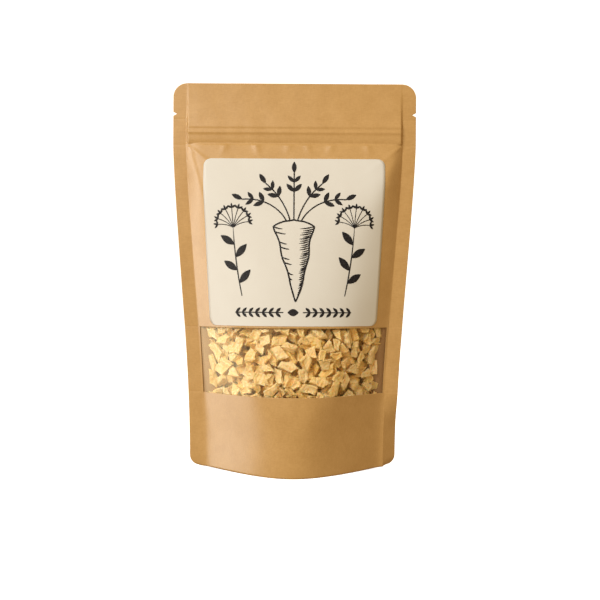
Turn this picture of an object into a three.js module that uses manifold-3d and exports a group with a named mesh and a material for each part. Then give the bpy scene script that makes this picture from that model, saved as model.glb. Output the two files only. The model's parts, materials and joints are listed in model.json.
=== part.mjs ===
// A stand-up kraft paper pouch with a clear window band, closed by a press-to-close zip and filled
// with dried, diced parsnip root.
//
// Units are millimetres and +Z is up. The front faces -Y. The origin is the middle of the pouch's
// footprint, on the surface that it stands on, and the plane y = 0 runs through both side seals.
//
// Three webs make the bag, as on a real one: a front panel with a window cut in it, a back panel, and
// a folded bottom gusset that opens into a boat-shaped base. Both panels are sheets whose depth from
// the plane y = 0 follows one rule, so the film, the label, the zip and the filling all fit them.
import * as THREE from "three";
import { mergeVertices } from "three/addons/utils/BufferGeometryUtils.js";
import Module from "manifold-3d";

const wasm = await Module();
wasm.setup();

// The bag: a flat width of 130, standing 208 high, heat-sealed down both sides.
const FLAT_WIDTH = 130;
const HEIGHT = 208;
const SEAL_WIDTH = 7;
const WEB = 0.5;
const TOP_CORNER_RADIUS = 6.7;
const BASE_CORNER_RADIUS = 6;
const SIDE_NARROWING = 10;
const BELLY_DEPTH = 26.5;
const SEAL_HALF_GAP = 0.2;
const FIT_GAP = 0.38;

// The tear notches, level with each other in both side seals above the zip.
const NOTCH_Z = 191.4;
const NOTCH_DEPTH = 2;
const NOTCH_HALF_HEIGHT = 1;

// The zip: two interlocking strips between the panels, which stand proud over it in three low ribs.
const ZIP_FOOT_Z = 175;
const ZIP_HEAD_Z = 189.5;
const ZIP_HOUSING = 1.7;
const ZIP_HOUSING_STEP = 1.6;
const ZIP_FADE = 0.03;
const ZIP_RIB_HEIGHT = 0.5;
const ZIP_RIB_HALF_WIDTH = 1.1;
const ZIP_RIBS_Z = [178, 182, 186.2];
const ZIP_MIDDLE_Z = 182;
const ZIP_TAPE = 0.4;
const ZIP_TAPE_HALF_HEIGHT = 5.4;
const ZIP_END = 0.955;

// The window band, which runs from one side seal to the other.
const WINDOW_FOOT_Z = 41;
const WINDOW_HEAD_Z = 76.3;
const WINDOW_EDGE = 0.985;
const FILM = 0.3;
const FILM_OVERLAP = 4;
const FILM_EDGE = 0.993;

// The label, a rectangle of this size while flat.
const LABEL_WIDTH = 97;
const LABEL_FOOT_Z = 77.4;
const LABEL_HEAD_Z = 166.6;
const LABEL_THICKNESS = 0.3;
const LABEL_CORNER_RADIUS = 4;

// The gusset: its weld line is low in the middle and climbs to its highest at the side seals. The
// middle of its underside lies flat on the ground, over these shares of its length and width.
const GUSSET_EDGE = 0.95;
const WELD_MIDDLE_Z = 5;
const WELD_SIDE_Z = 31;
const FOLD_RISE = 1.5;
const REST_SHARE = 0.3;
const REST_ACROSS = 0.28;

// The filling, heaped to this height inside.
const FILL_HEAD_Z = 136;
const FILL_EDGE = 0.94;
const FILL_FRONT_GAP = 1.35;
const FILL_BACK_GAP = 0.6;
const DIE = { width: 9.4, height: 8.4, thickness: 4.6 };
const DIE_UNEVENNESS = 0.5;
const DIE_RELIEF = 3.2;
const DIE_PITCH = 0.9 * DIE.width;
const DIE_LEAN = 0.9;
const CORNER_SPARE = 0.6;
const HEAP_RISE = 6;
const LEAST_PRESSED = 0.6;
const HIDDEN_DIE_SCALE = 2.2;
const RANDOM_SEED = 20261;

const clamp = (v, low, high) => Math.min(high, Math.max(low, v));
const clamp01 = (v) => clamp(v, 0, 1);
const mix = (a, b, t) => a + (b - a) * t;
const smooth = (v) => {
  const t = clamp01(v);
  return t * t * (3 - 2 * t);
};

// The outline and the depth rule of the two panels.

// How far z lies below the zip's foot: 0 at the foot and 1 at the base.
const drop = (z) => clamp01((ZIP_FOOT_Z - z) / ZIP_FOOT_Z);

// Half the bag's width before its corners are rounded: filling the bag draws its sides in.
const sideX = (z) => FLAT_WIDTH / 2 - SIDE_NARROWING * Math.sin((Math.PI / 2) * drop(z) ** 1.3);

// Half the width between the side seals.
const innerX = (z) => sideX(z) - SEAL_WIDTH;

// What a quarter circle of this radius takes off the side, this far from the end of the sheet.
function cornerCut(radius, distance) {
  const t = radius - clamp01(distance / radius) * radius;
  return radius - Math.sqrt(radius * radius - t * t);
}

// The cut edge of the bag, with its rounded corners and tear notches.
function edgeX(z) {
  const notch = NOTCH_DEPTH * clamp01(1 - Math.abs(z - NOTCH_Z) / NOTCH_HALF_HEIGHT);
  const top = cornerCut(TOP_CORNER_RADIUS, HEIGHT - z);
  const base = cornerCut(BASE_CORNER_RADIUS, z);
  return sideX(z) - notch - top - base;
}

// Near the zip the belly is flat-fronted with steep flanks, and at the base it is a plain lens.
const bellyPower = (z) => 2.3 + 3.4 * (1 - drop(z)) ** 1.6;
const bellyDepth = (z) => BELLY_DEPTH * Math.sin((Math.PI / 2) * drop(z) ** 0.78);

// The depth of a panel's inner face from the plane y = 0. s runs from -1 to 1 between the seals.
function depth(s, z) {
  const across = Math.min(1, Math.abs(s));
  const belly = bellyDepth(z) * (1 - across ** bellyPower(z));
  const head = smooth((ZIP_HEAD_Z - z) / ZIP_HOUSING_STEP + 0.5);
  const foot = smooth((z - ZIP_FOOT_Z) / ZIP_HOUSING_STEP + 0.5);
  return SEAL_HALF_GAP + belly + ZIP_HOUSING * head * foot * smooth((1 - across) / ZIP_FADE);
}

// The low ribs that the zip presses into the outside of each panel.
function ribs(s, z) {
  const bump = (ribZ) => Math.exp(-(((z - ribZ) / ZIP_RIB_HALF_WIDTH) ** 2));
  const bumps = ZIP_RIBS_Z.reduce((sum, ribZ) => sum + bump(ribZ), 0);
  return ZIP_RIB_HEIGHT * bumps * smooth((1 - Math.abs(s)) / ZIP_FADE);
}

// The s at which a strip laid on the belly, starting at the middle, has run out this length.
function shareAtArc(z, length) {
  const steps = 400;
  let run = 0;
  for (let i = 1; i <= steps; i += 1) {
    const rise = depth(i / steps, z) - depth((i - 1) / steps, z);
    run += Math.hypot(innerX(z) / steps, rise);
    if (run >= length) return i / steps;
  }
  return 1;
}

// Solids made of sheets.

// Collects triangles and makes the mesh geometry.
class Faces {
  positions = [];

  quad(a, b, c, d) {
    this.positions.push(...a, ...b, ...c, ...a, ...c, ...d);
  }

  geometry() {
    const made = new THREE.BufferGeometry();
    made.setAttribute("position", new THREE.Float32BufferAttribute(this.positions, 3));
    const merged = mergeVertices(made, 1e-4);
    merged.computeVertexNormals();
    return merged;
  }
}

// A closed sheet between two grids of points, near and far, with a wall round its edge and round
// every hole. Seen from the near side, rows run up and columns run to the right.
function sheet(near, far, isSolid = () => true) {
  const faces = new Faces();
  const rows = near.length - 1;
  const columns = near[0].length - 1;
  const solid = (i, j) => i >= 0 && j >= 0 && i < rows && j < columns && isSolid(i, j);
  for (let i = 0; i < rows; i += 1) {
    for (let j = 0; j < columns; j += 1) {
      if (!solid(i, j)) continue;
      faces.quad(near[i][j], near[i][j + 1], near[i + 1][j + 1], near[i + 1][j]);
      faces.quad(far[i][j], far[i + 1][j], far[i + 1][j + 1], far[i][j + 1]);
      if (!solid(i - 1, j)) faces.quad(near[i][j], far[i][j], far[i][j + 1], near[i][j + 1]);
      if (!solid(i + 1, j)) {
        faces.quad(near[i + 1][j], near[i + 1][j + 1], far[i + 1][j + 1], far[i + 1][j]);
      }
      if (!solid(i, j - 1)) faces.quad(near[i][j], near[i + 1][j], far[i + 1][j], far[i][j]);
      if (!solid(i, j + 1)) {
        faces.quad(near[i][j + 1], far[i][j + 1], far[i + 1][j + 1], near[i + 1][j + 1]);
      }
    }
  }
  return faces.geometry();
}

const grid = (rows, columns, point) => rows.map((r) => columns.map((c) => point(r, c)));

// The levels and the shares of the width at which the sheets have their points. OUTER marks a cut
// edge, whose place has a rule of its own.
const OUTER = 2;
const mirrored = (half) => [...half.map((s) => -s), 0, ...[...half].reverse()];
const BELLY_SHARES = [0.87, 0.75, 0.6, 0.42, 0.21];
const PANEL_SHARES = mirrored([OUTER, 1, WINDOW_EDGE, 0.95, ...BELLY_SHARES]);
const BASE_LEVELS = [0, 0.8, 2.6, BASE_CORNER_RADIUS, 17, 29];
const WINDOW_LEVELS = [WINDOW_FOOT_Z, 50, 59, 68, WINDOW_HEAD_Z];
const BELLY_LEVELS = [89, 102, 115, 128, 141, 153, 162, 168, 172];
const ZIP_LEVELS = [ZIP_FOOT_Z + 0.2, 176.6, 178, 180, 182, 184.1, 186.2, 188.3, 190.4];
const HEAD_LEVELS = [NOTCH_Z, 192.4, HEIGHT - TOP_CORNER_RADIUS, 204.4, 206.9, HEIGHT];
const PANEL_LEVELS = [...BASE_LEVELS, ...WINDOW_LEVELS, ...BELLY_LEVELS, ...ZIP_LEVELS, ...HEAD_LEVELS];

const panelX = (s, z) => (Math.abs(s) === OUTER ? Math.sign(s) * edgeX(z) : s * innerX(z));

// A panel, with side -1 for the front and 1 for the back. Seen from outside, x runs to the right on
// the front and to the left on the back.
function panel(side, isSolid) {
  const shares = PANEL_SHARES.map((s) => -side * s);
  const inside = (z, s) => [panelX(s, z), side * depth(s, z), z];
  const outside = (z, s) => [panelX(s, z), side * (depth(s, z) + WEB + ribs(s, z)), z];
  return sheet(grid(PANEL_LEVELS, shares, outside), grid(PANEL_LEVELS, shares, inside), isSolid);
}

function frontPanel() {
  const firstRow = PANEL_LEVELS.indexOf(WINDOW_FOOT_Z);
  const lastRow = PANEL_LEVELS.indexOf(WINDOW_HEAD_Z);
  const firstColumn = PANEL_SHARES.indexOf(-WINDOW_EDGE);
  const lastColumn = PANEL_SHARES.indexOf(WINDOW_EDGE);
  const inWindow = (i, j) => i >= firstRow && i < lastRow && j >= firstColumn && j < lastColumn;
  return panel(-1, (i, j) => !inWindow(i, j));
}

// The clear film behind the window, welded to the panel above and below it.
function windowFilm() {
  const levels = [WINDOW_FOOT_Z - FILM_OVERLAP, ...WINDOW_LEVELS, WINDOW_HEAD_Z + FILM_OVERLAP];
  const shares = mirrored([FILM_EDGE, 0.95, ...BELLY_SHARES]);
  const at = (offset) => grid(levels, shares, (z, s) => [s * innerX(z), -(depth(s, z) - offset), z]);
  return sheet(at(FIT_GAP), at(FIT_GAP + FILM));
}

// The paper label, whose edge runs at a fixed distance from the middle along the curved panel.
function label() {
  const corner = LABEL_CORNER_RADIUS;
  const ends = [0, 0.09 * corner, 0.4 * corner, corner];
  const between = BELLY_LEVELS.filter((z) => z > LABEL_FOOT_Z + corner && z < LABEL_HEAD_Z - corner);
  const levels = [
    ...ends.map((distance) => LABEL_FOOT_Z + distance),
    ...between,
    ...ends.map((distance) => LABEL_HEAD_Z - distance).reverse(),
  ];
  const shares = mirrored([OUTER, ...BELLY_SHARES.slice(1)]);
  const edgeShare = new Map(
    levels.map((z) => {
      const cut = cornerCut(corner, z - LABEL_FOOT_Z) + cornerCut(corner, LABEL_HEAD_Z - z);
      return [z, shareAtArc(z, LABEL_WIDTH / 2 - cut)];
    }),
  );
  const share = (s, z) => (Math.abs(s) === OUTER ? Math.sign(s) * edgeShare.get(z) : s);
  const at = (offset) =>
    grid(levels, shares, (z, s) => {
      const t = share(s, z);
      return [t * innerX(z), -(depth(t, z) + WEB + offset), z];
    });
  return sheet(at(FIT_GAP + LABEL_THICKNESS), at(FIT_GAP));
}

// The bottom gusset.

// How far x lies from the middle: 0 there and 1 at the gusset's end.
const GUSSET_END_X = GUSSET_EDGE * innerX(0);
const outward = (x) => clamp01(Math.abs(x) / GUSSET_END_X);
const weldZ = (x) => mix(WELD_MIDDLE_Z, WELD_SIDE_Z, outward(x) ** 2.6);
const GUSSET_SHARES = [0.94, 0.85, 0.74, 0.6, 0.45, REST_SHARE, 0.15];

// The underside of the gusset between its weld lines, flat on the ground in the middle.
function gussetZ(x, across) {
  const fold = (WELD_SIDE_Z + FOLD_RISE) * clamp01((outward(x) - REST_SHARE) / (1 - REST_SHARE)) ** 2;
  const rise = clamp01((Math.abs(across) - REST_ACROSS) / (1 - REST_ACROSS));
  return mix(fold, weldZ(x), rise ** 1.8);
}

// The gusset runs up inside the front panel to the weld line, over to the back panel and down again.
function gusset() {
  const stations = mirrored([1, ...GUSSET_SHARES]).map((share) => share * GUSSET_END_X);
  const skirt = [0, 0.34, 0.67, 1];
  const span = [0.8, 0.55, REST_ACROSS, 0];
  const path = [
    ...skirt.map((up) => ({ side: -1, up })),
    ...span.map((across) => ({ side: -1, across })),
    ...span.slice(0, -1).reverse().map((across) => ({ side: 1, across })),
    ...[...skirt].reverse().map((up) => ({ side: 1, up })),
  ];
  const wallY = (x, z) => depth(x / innerX(z), z) - FIT_GAP;
  const point = (x, step, thickness) => {
    const top = weldZ(x);
    if (step.up !== undefined) {
      const z = step.up * (top + thickness);
      return [x, step.side * (wallY(x, Math.min(z, top)) - (WEB - thickness)), z];
    }
    const reach = wallY(x, top) - (WEB - thickness);
    return [x, step.side * step.across * reach, gussetZ(x, step.across) + thickness];
  };
  const at = (thickness) => grid(path, stations, (step, x) => point(x, step, thickness));
  return sheet(at(WEB), at(0));
}

// The zip strips: a rib with an arrow head on the front strip, and the groove that it snaps into.
function zipStrip(outline) {
  const half = ZIP_END * innerX(ZIP_FOOT_Z);
  const shape = new THREE.Shape(outline.map(([y, z]) => new THREE.Vector2(y, z)));
  const made = new THREE.ExtrudeGeometry(shape, { depth: 2 * half, bevelEnabled: false });
  const turn = new THREE.Matrix4().makeBasis(
    new THREE.Vector3(0, 1, 0),
    new THREE.Vector3(0, 0, 1),
    new THREE.Vector3(1, 0, 0),
  );
  return made.applyMatrix4(turn).translate(-half, 0, 0);
}

const ZIP_WALL = SEAL_HALF_GAP + ZIP_HOUSING - FIT_GAP;

// The tape behind a zip strip's profile, from its lower corner round to its upper one.
const zipTape = (face, back) => [
  [face, -ZIP_TAPE_HALF_HEIGHT],
  [back, -ZIP_TAPE_HALF_HEIGHT],
  [back, ZIP_TAPE_HALF_HEIGHT],
  [face, ZIP_TAPE_HALF_HEIGHT],
];
const fromZipMiddle = (outline) => outline.map(([y, z]) => [y, z + ZIP_MIDDLE_Z]);

function zipRibStrip() {
  const face = ZIP_TAPE - ZIP_WALL;
  const arrow = [[face, 0.45], [0.1, 0.45], [0.1, 0.9], [0.75, 0], [0.1, -0.9], [0.1, -0.45], [face, -0.45]];
  return zipStrip(fromZipMiddle([...zipTape(face, -ZIP_WALL), ...arrow]).reverse());
}

function zipGrooveStrip() {
  const face = ZIP_WALL - ZIP_TAPE;
  const jaw = [[face, 1.9], [-0.45, 1.9], [-0.45, 0.85], [-0.2, 0.85], [-0.2, 1.3], [face, 1.3]];
  const lowerJaw = jaw.map(([y, z]) => [y, -z]).reverse();
  return zipStrip(fromZipMiddle([...zipTape(face, ZIP_WALL), ...jaw, ...lowerJaw]));
}

// The filling.

// A small seeded generator, so that the dice fall in the same places every time.
function randomSource(seed) {
  let state = seed;
  return () => {
    state = (state + 0x6d2b79f5) | 0;
    let t = Math.imul(state ^ (state >>> 15), 1 | state);
    t = (t + Math.imul(t ^ (t >>> 7), 61 | t)) ^ t;
    return ((t ^ (t >>> 14)) >>> 0) / 4294967296;
  };
}

function toManifold(geometry) {
  const bare = new THREE.BufferGeometry();
  bare.setAttribute("position", geometry.getAttribute("position"));
  bare.setIndex(geometry.getIndex());
  const merged = mergeVertices(bare.index ? bare.toNonIndexed() : bare, 1e-4);
  return new wasm.Manifold(
    new wasm.Mesh({
      numProp: 3,
      vertProperties: merged.attributes.position.array,
      triVerts: new Uint32Array(merged.index.array),
    }),
  );
}

// The largest shell of a solid: what fusing sealed inside is filled, and loose scraps are dropped.
function outerShell(manifold) {
  const mesh = manifold.getMesh();
  const corners = mesh.triVerts;
  const parent = Array.from({ length: mesh.numVert }, (_, i) => i);
  const rootOf = (i) => {
    let r = i;
    while (parent[r] !== r) r = parent[r];
    parent[i] = r;
    return r;
  };
  for (let t = 0; t < corners.length; t += 3) {
    parent[rootOf(corners[t + 1])] = rootOf(corners[t]);
    parent[rootOf(corners[t + 2])] = rootOf(corners[t]);
  }
  const shells = new Map();
  for (let t = 0; t < corners.length; t += 3) {
    const root = rootOf(corners[t]);
    if (!shells.has(root)) shells.set(root, []);
    shells.get(root).push(corners[t], corners[t + 1], corners[t + 2]);
  }
  const largest = [...shells.values()].sort((a, b) => b.length - a.length)[0];
  const made = new THREE.BufferGeometry();
  made.setAttribute("position", new THREE.BufferAttribute(new Float32Array(mesh.vertProperties), 3));
  made.setIndex(largest);
  const shell = made.toNonIndexed();
  shell.computeVertexNormals();
  return shell;
}

const FILL_SHARES = mirrored([FILL_EDGE, ...BELLY_SHARES]);

// The depth of the filling's face on one side, drawn in by an inset.
const fillDepth = (s, z, side, inset) => {
  const gap = side < 0 ? FILL_FRONT_GAP : FILL_BACK_GAP;
  return Math.max(0.5, depth(s, z) - gap - inset);
};

// The bag's inside up to a level, drawn in by an inset, as a stack of lens-shaped rings.
function insideBody(inset, headZ) {
  const belly = BELLY_LEVELS.filter((z) => z < headZ - 4);
  const levels = [-1, ...BASE_LEVELS.slice(3), ...WINDOW_LEVELS, ...belly, headZ];
  const ring = (z) => [
    ...FILL_SHARES.map((s) => [s * innerX(z), -fillDepth(s, z, -1, inset), z]),
    ...[...FILL_SHARES].reverse().map((s) => [s * innerX(z), fillDepth(s, z, 1, inset), z]),
  ];
  const rings = levels.map(ring);
  const faces = new Faces();
  const count = rings[0].length;
  const last = FILL_SHARES.length - 1;
  for (let i = 0; i + 1 < rings.length; i += 1) {
    for (let k = 0; k < count; k += 1) {
      const next = (k + 1) % count;
      faces.quad(rings[i][k], rings[i][next], rings[i + 1][next], rings[i + 1][k]);
    }
  }
  const top = rings[rings.length - 1];
  for (let j = 0; j < last; j += 1) {
    const opposite = count - 1 - j;
    faces.quad(rings[0][j], rings[0][opposite], rings[0][opposite - 1], rings[0][j + 1]);
    faces.quad(top[j], top[j + 1], top[opposite - 1], top[opposite]);
  }
  return toManifold(faces.geometry());
}

// Everything below the filling: the gusset and the ground.
function belowGusset() {
  const stations = mirrored([1.2, 1, ...GUSSET_SHARES]).map((share) => share * GUSSET_END_X);
  const acrossSteps = mirrored([1.6, 1, 0.8, 0.55, REST_ACROSS]);
  const reach = (x) => Math.max(2, depth(x / innerX(weldZ(x)), weldZ(x)) - FIT_GAP);
  const level = (z) => grid(acrossSteps, stations, (t, x) => [x, t * reach(x), z(x, t)]);
  const top = level((x, t) => gussetZ(x, t) + WEB + FIT_GAP + 0.3);
  return toManifold(sheet(top, level(() => -5)));
}

// The lowest that a die's corner may reach: just over the gusset at its highest across the bag.
const fillFootZ = (x) => Math.max(weldZ(x), gussetZ(x, 0)) + WEB + 1;

// One die: a squared chip whose corners have shrunk unevenly in drying.
function die(random, scale) {
  const jitter = () => 1 + (random() - 0.5) * DIE_UNEVENNESS;
  const box = new THREE.BoxGeometry(DIE.width, DIE.thickness, DIE.height);
  const made = mergeVertices(box.deleteAttribute("normal").deleteAttribute("uv"));
  const corners = made.getAttribute("position");
  for (let i = 0; i < corners.count; i += 1) {
    corners.setXYZ(i, corners.getX(i) * jitter(), corners.getY(i) * jitter(), corners.getZ(i) * jitter());
  }
  return made.scale(scale, scale, scale);
}

// Lays a die on a spot of the heap, facing outwards with a random lean and spin. Corners that would
// reach the film or the paper are pressed back to the room that the filling has, each die by a little
// more or less, so that no two of them end flush. A spot too tight for a die stays empty.
function layDie(random, scale, spot, outwards, lean) {
  const facing = new THREE.Quaternion().setFromUnitVectors(new THREE.Vector3(0, -1, 0), outwards);
  const spin = new THREE.Quaternion().setFromAxisAngle(new THREE.Vector3(0, 1, 0), random() * Math.PI * 2);
  const tilt = new THREE.Quaternion().setFromEuler(
    new THREE.Euler((random() - 0.5) * lean, 0, (random() - 0.5) * lean),
  );
  const turn = facing.multiply(tilt).multiply(spin);
  const place = new THREE.Matrix4().compose(spot, turn, new THREE.Vector3(1, 1, 1));
  const laid = die(random, scale).applyMatrix4(place);
  const freeVolume = toManifold(laid).volume();
  const corners = laid.getAttribute("position");
  for (let i = 0; i < corners.count; i += 1) {
    const spare = CORNER_SPARE * random();
    const z = clamp(corners.getZ(i), fillFootZ(corners.getX(i)) + spare, FILL_HEAD_Z + HEAP_RISE - spare);
    const edge = FILL_EDGE - 0.02 * random();
    const s = clamp(corners.getX(i) / innerX(z), -edge, edge);
    const y = clamp(corners.getY(i), -fillDepth(s, z, -1, spare), fillDepth(s, z, 1, spare));
    corners.setXYZ(i, s * innerX(z), y, z);
  }
  const pressed = toManifold(laid);
  return pressed.volume() > LEAST_PRESSED * freeVolume ? [pressed] : [];
}

// Dice in staggered rows over one side of the heap between two levels.
function diceRows(random, side, scale, fromZ, toZ, pitch) {
  const dice = [];
  const rows = Math.round((toZ - fromZ) / pitch);
  const face = (s, z) => fillDepth(s, z, side, 0);
  const step = 0.02;
  for (let i = 0; i <= rows; i += 1) {
    const rowZ = mix(fromZ, toZ, i / rows);
    const columns = Math.round((2 * FILL_EDGE * innerX(rowZ)) / pitch);
    const stagger = i % 2 ? 0.25 : -0.25;
    for (let j = 0; j <= columns; j += 1) {
      const s = mix(-FILL_EDGE, FILL_EDGE, (j + stagger + 0.5 * (random() - 0.5)) / columns);
      const z = rowZ + (random() - 0.5) * 0.5 * pitch;
      const slopeX = (face(s + step, z) - face(s - step, z)) / (2 * step * innerX(z));
      const slopeZ = (face(s, z + 1) - face(s, z - 1)) / 2;
      const outwards = new THREE.Vector3(-slopeX, side, -slopeZ).normalize();
      const sunk = (DIE.thickness * scale) / 2 - 0.6 + 1.4 * random();
      const y = side * Math.max(0, face(s, z) - sunk);
      if (z < fillFootZ(s * innerX(z)) + 1) continue;
      dice.push(...layDie(random, scale, new THREE.Vector3(s * innerX(z), y, z), outwards, DIE_LEAN));
    }
  }
  return dice;
}

// Dice over the top of the heap.
function diceOnTop(random, scale, pitch) {
  const dice = [];
  const columns = Math.round((2 * 0.9 * innerX(FILL_HEAD_Z)) / pitch);
  for (let j = 0; j <= columns; j += 1) {
    const s = mix(-0.9, 0.9, j / columns);
    const reach = fillDepth(s, FILL_HEAD_Z, 1, DIE_RELIEF);
    const rows = Math.max(1, Math.round((2 * reach) / pitch));
    for (let k = 0; k <= rows; k += 1) {
      const y = mix(-reach, reach, k / rows) + (random() - 0.5) * 2;
      const spot = new THREE.Vector3(s * innerX(FILL_HEAD_Z), y, FILL_HEAD_Z - 1 + 2 * random());
      dice.push(...layDie(random, scale, spot, new THREE.Vector3(0, 0, 1), 1.2));
    }
  }
  return dice;
}

// The filling as one body: a core that the dice stand out of, true size behind the window and larger
// where the paper hides them, kept clear of the film, the panels and the gusset.
function filling() {
  const random = randomSource(RANDOM_SEED);
  const bandFoot = WINDOW_FOOT_Z - 3;
  const bandHead = WINDOW_HEAD_Z + 3;
  const big = HIDDEN_DIE_SCALE;
  const bigPitch = DIE.width * big;
  const dice = [
    ...diceRows(random, -1, 1, bandFoot, bandHead, DIE_PITCH),
    ...diceRows(random, -1, big, 8, bandFoot - 6, bigPitch),
    ...diceRows(random, -1, big, bandHead + 6, FILL_HEAD_Z - 4, bigPitch),
    ...diceRows(random, 1, big, 8, FILL_HEAD_Z - 4, bigPitch),
    ...diceOnTop(random, big, bigPitch),
  ];
  const core = insideBody(DIE_RELIEF, FILL_HEAD_Z - 2).subtract(belowGusset());
  const heap = wasm.Manifold.union([core, ...dice]);
  return outerShell(heap.simplify(0.05));
}

// The nodes.
const KRAFT = { color: 0xcf9f66, roughness: 0.72, metalness: 0 };
const CLEAR = { color: 0xe9dcc4, roughness: 0.12, metalness: 0, transparent: true, opacity: 0.3 };
const PAPER = { color: 0xece0c8, roughness: 0.6, metalness: 0 };
const POLYTHENE = { color: 0xe6e0d2, roughness: 0.35, metalness: 0 };
const PARSNIP = { color: 0xeccb8a, roughness: 0.8, metalness: 0 };

const pouch = new THREE.Group();

function addNode(name, geometry, finish) {
  const mesh = new THREE.Mesh(geometry, new THREE.MeshStandardMaterial(finish));
  mesh.name = name;
  pouch.add(mesh);
}

addNode("front_panel", frontPanel(), KRAFT);
addNode("back_panel", panel(1), KRAFT);
addNode("bottom_gusset", gusset(), KRAFT);
addNode("window_film", windowFilm(), CLEAR);
addNode("label", label(), PAPER);
addNode("zip_rib_strip", zipRibStrip(), POLYTHENE);
addNode("zip_groove_strip", zipGrooveStrip(), POLYTHENE);
addNode("parsnip_dice", filling(), PARSNIP);

export default pouch;
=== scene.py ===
"""A stand-up kraft paper pouch with a clear window band, filled with dried, diced parsnip root.

Lengths are in metres and +Z is up. The front faces -Y, and the plane y = 0 runs through both side
seals. Every sheet of the bag follows one rule, BagForm, written once: given numbers it works out
numbers, and given the fields of a Geometry Nodes tree it builds the nodes that work them out.
"""

import json
import logging
import math
from dataclasses import dataclass, fields
from enum import Enum
from typing import Callable, Iterable, Sequence

import bpy
import numpy as np
from mathutils import Euler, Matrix, Quaternion, Vector, noise

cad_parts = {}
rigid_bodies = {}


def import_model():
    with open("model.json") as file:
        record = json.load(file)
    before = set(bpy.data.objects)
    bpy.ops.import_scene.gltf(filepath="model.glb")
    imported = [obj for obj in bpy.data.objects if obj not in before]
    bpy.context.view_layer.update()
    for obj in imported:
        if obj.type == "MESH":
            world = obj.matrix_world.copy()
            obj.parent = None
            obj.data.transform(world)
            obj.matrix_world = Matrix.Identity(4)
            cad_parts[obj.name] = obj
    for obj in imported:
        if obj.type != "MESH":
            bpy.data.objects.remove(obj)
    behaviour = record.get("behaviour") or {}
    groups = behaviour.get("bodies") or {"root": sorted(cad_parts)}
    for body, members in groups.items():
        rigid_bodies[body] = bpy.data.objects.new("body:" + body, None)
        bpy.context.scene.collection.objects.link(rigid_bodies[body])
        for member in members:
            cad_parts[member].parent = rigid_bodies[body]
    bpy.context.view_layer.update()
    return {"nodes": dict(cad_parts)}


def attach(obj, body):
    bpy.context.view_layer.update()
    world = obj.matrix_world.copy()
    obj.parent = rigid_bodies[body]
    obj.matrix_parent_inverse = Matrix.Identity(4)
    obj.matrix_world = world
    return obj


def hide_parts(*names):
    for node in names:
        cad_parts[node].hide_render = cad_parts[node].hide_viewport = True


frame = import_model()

BODY = "root"
MM = 0.001
LOG = logging.getLogger("pouch")

Number = "float | np.ndarray | Field"
Colour = tuple[float, float, float]
Range = tuple[float, float]


class Side(Enum):
    """The two faces of the bag, by the direction along Y in which each looks."""

    FRONT = -1
    BACK = 1


class Field:
    """A value that a node tree works out at every point. Arithmetic on it adds Math nodes."""

    def __init__(self, tree: bpy.types.NodeTree, socket: bpy.types.NodeSocket) -> None:
        """Wraps an output socket of a tree."""
        self.tree = tree
        self.socket = socket

    def apply(self, operation: str, *values: Number) -> "Field":
        """Adds a Math node.

        Args:
            operation: the Math node's operation.
            values: its inputs in order, each a number or a field.

        Returns:
            The node's result.
        """
        node = self.tree.nodes.new("ShaderNodeMath")
        node.operation = operation
        for socket, value in zip(node.inputs, values):
            feed(self.tree, socket, value)
        return Field(self.tree, node.outputs[0])

    def __add__(self, other: Number) -> "Field":
        """Adds."""
        return self.apply("ADD", self, other)

    __radd__ = __add__

    def __sub__(self, other: Number) -> "Field":
        """Subtracts."""
        return self.apply("SUBTRACT", self, other)

    def __rsub__(self, other: Number) -> "Field":
        """Subtracts from a number."""
        return self.apply("SUBTRACT", other, self)

    def __mul__(self, other: Number) -> "Field":
        """Multiplies."""
        return self.apply("MULTIPLY", self, other)

    __rmul__ = __mul__

    def __truediv__(self, other: Number) -> "Field":
        """Divides."""
        return self.apply("DIVIDE", self, other)

    def __rtruediv__(self, other: Number) -> "Field":
        """Divides a number by it."""
        return self.apply("DIVIDE", other, self)

    def __neg__(self) -> "Field":
        """Turns the sign."""
        return self.apply("MULTIPLY", self, -1.0)


def feed(tree: bpy.types.NodeTree, socket: bpy.types.NodeSocket, value: object) -> None:
    """Sets an input socket, by a link where the value is a field or an output socket."""
    if isinstance(value, Field):
        tree.links.new(value.socket, socket)
    elif isinstance(value, bpy.types.NodeSocket):
        tree.links.new(value, socket)
    else:
        socket.default_value = value


def applied(operation: str, numeric: Callable[..., Number], *values: Number) -> Number:
    """A function of numbers, or the node for it where one of the values is a field."""
    for value in values:
        if isinstance(value, Field):
            return value.apply(operation, *values)
    return numeric(*values)


def sine(v: Number) -> Number:
    """The sine of an angle in radians."""
    return applied("SINE", np.sin, v)


def bell(v: Number) -> Number:
    """A bell curve: 1 at 0 and almost 0 from 2 on."""
    return applied("EXPONENT", np.exp, -(v * v))


def power(v: Number, exponent: Number) -> Number:
    """A value that is not negative, raised to a power."""
    return applied("POWER", np.power, v, exponent)


def size(v: Number) -> Number:
    """The value without its sign."""
    return applied("ABSOLUTE", np.abs, v)


def sign(v: Number) -> Number:
    """-1, 0 or 1."""
    return applied("SIGN", np.sign, v)


def lesser(a: Number, b: Number) -> Number:
    """The smaller of two."""
    return applied("MINIMUM", np.minimum, a, b)


def greater(a: Number, b: Number) -> Number:
    """The larger of two."""
    return applied("MAXIMUM", np.maximum, a, b)


def clamp01(v: Number) -> Number:
    """The value held between 0 and 1."""
    return lesser(greater(v, 0.0), 1.0)


def smooth(v: Number) -> Number:
    """A soft step from 0 at 0 to 1 at 1."""
    t = clamp01(v)
    return t * t * (3.0 - 2.0 * t)


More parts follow.
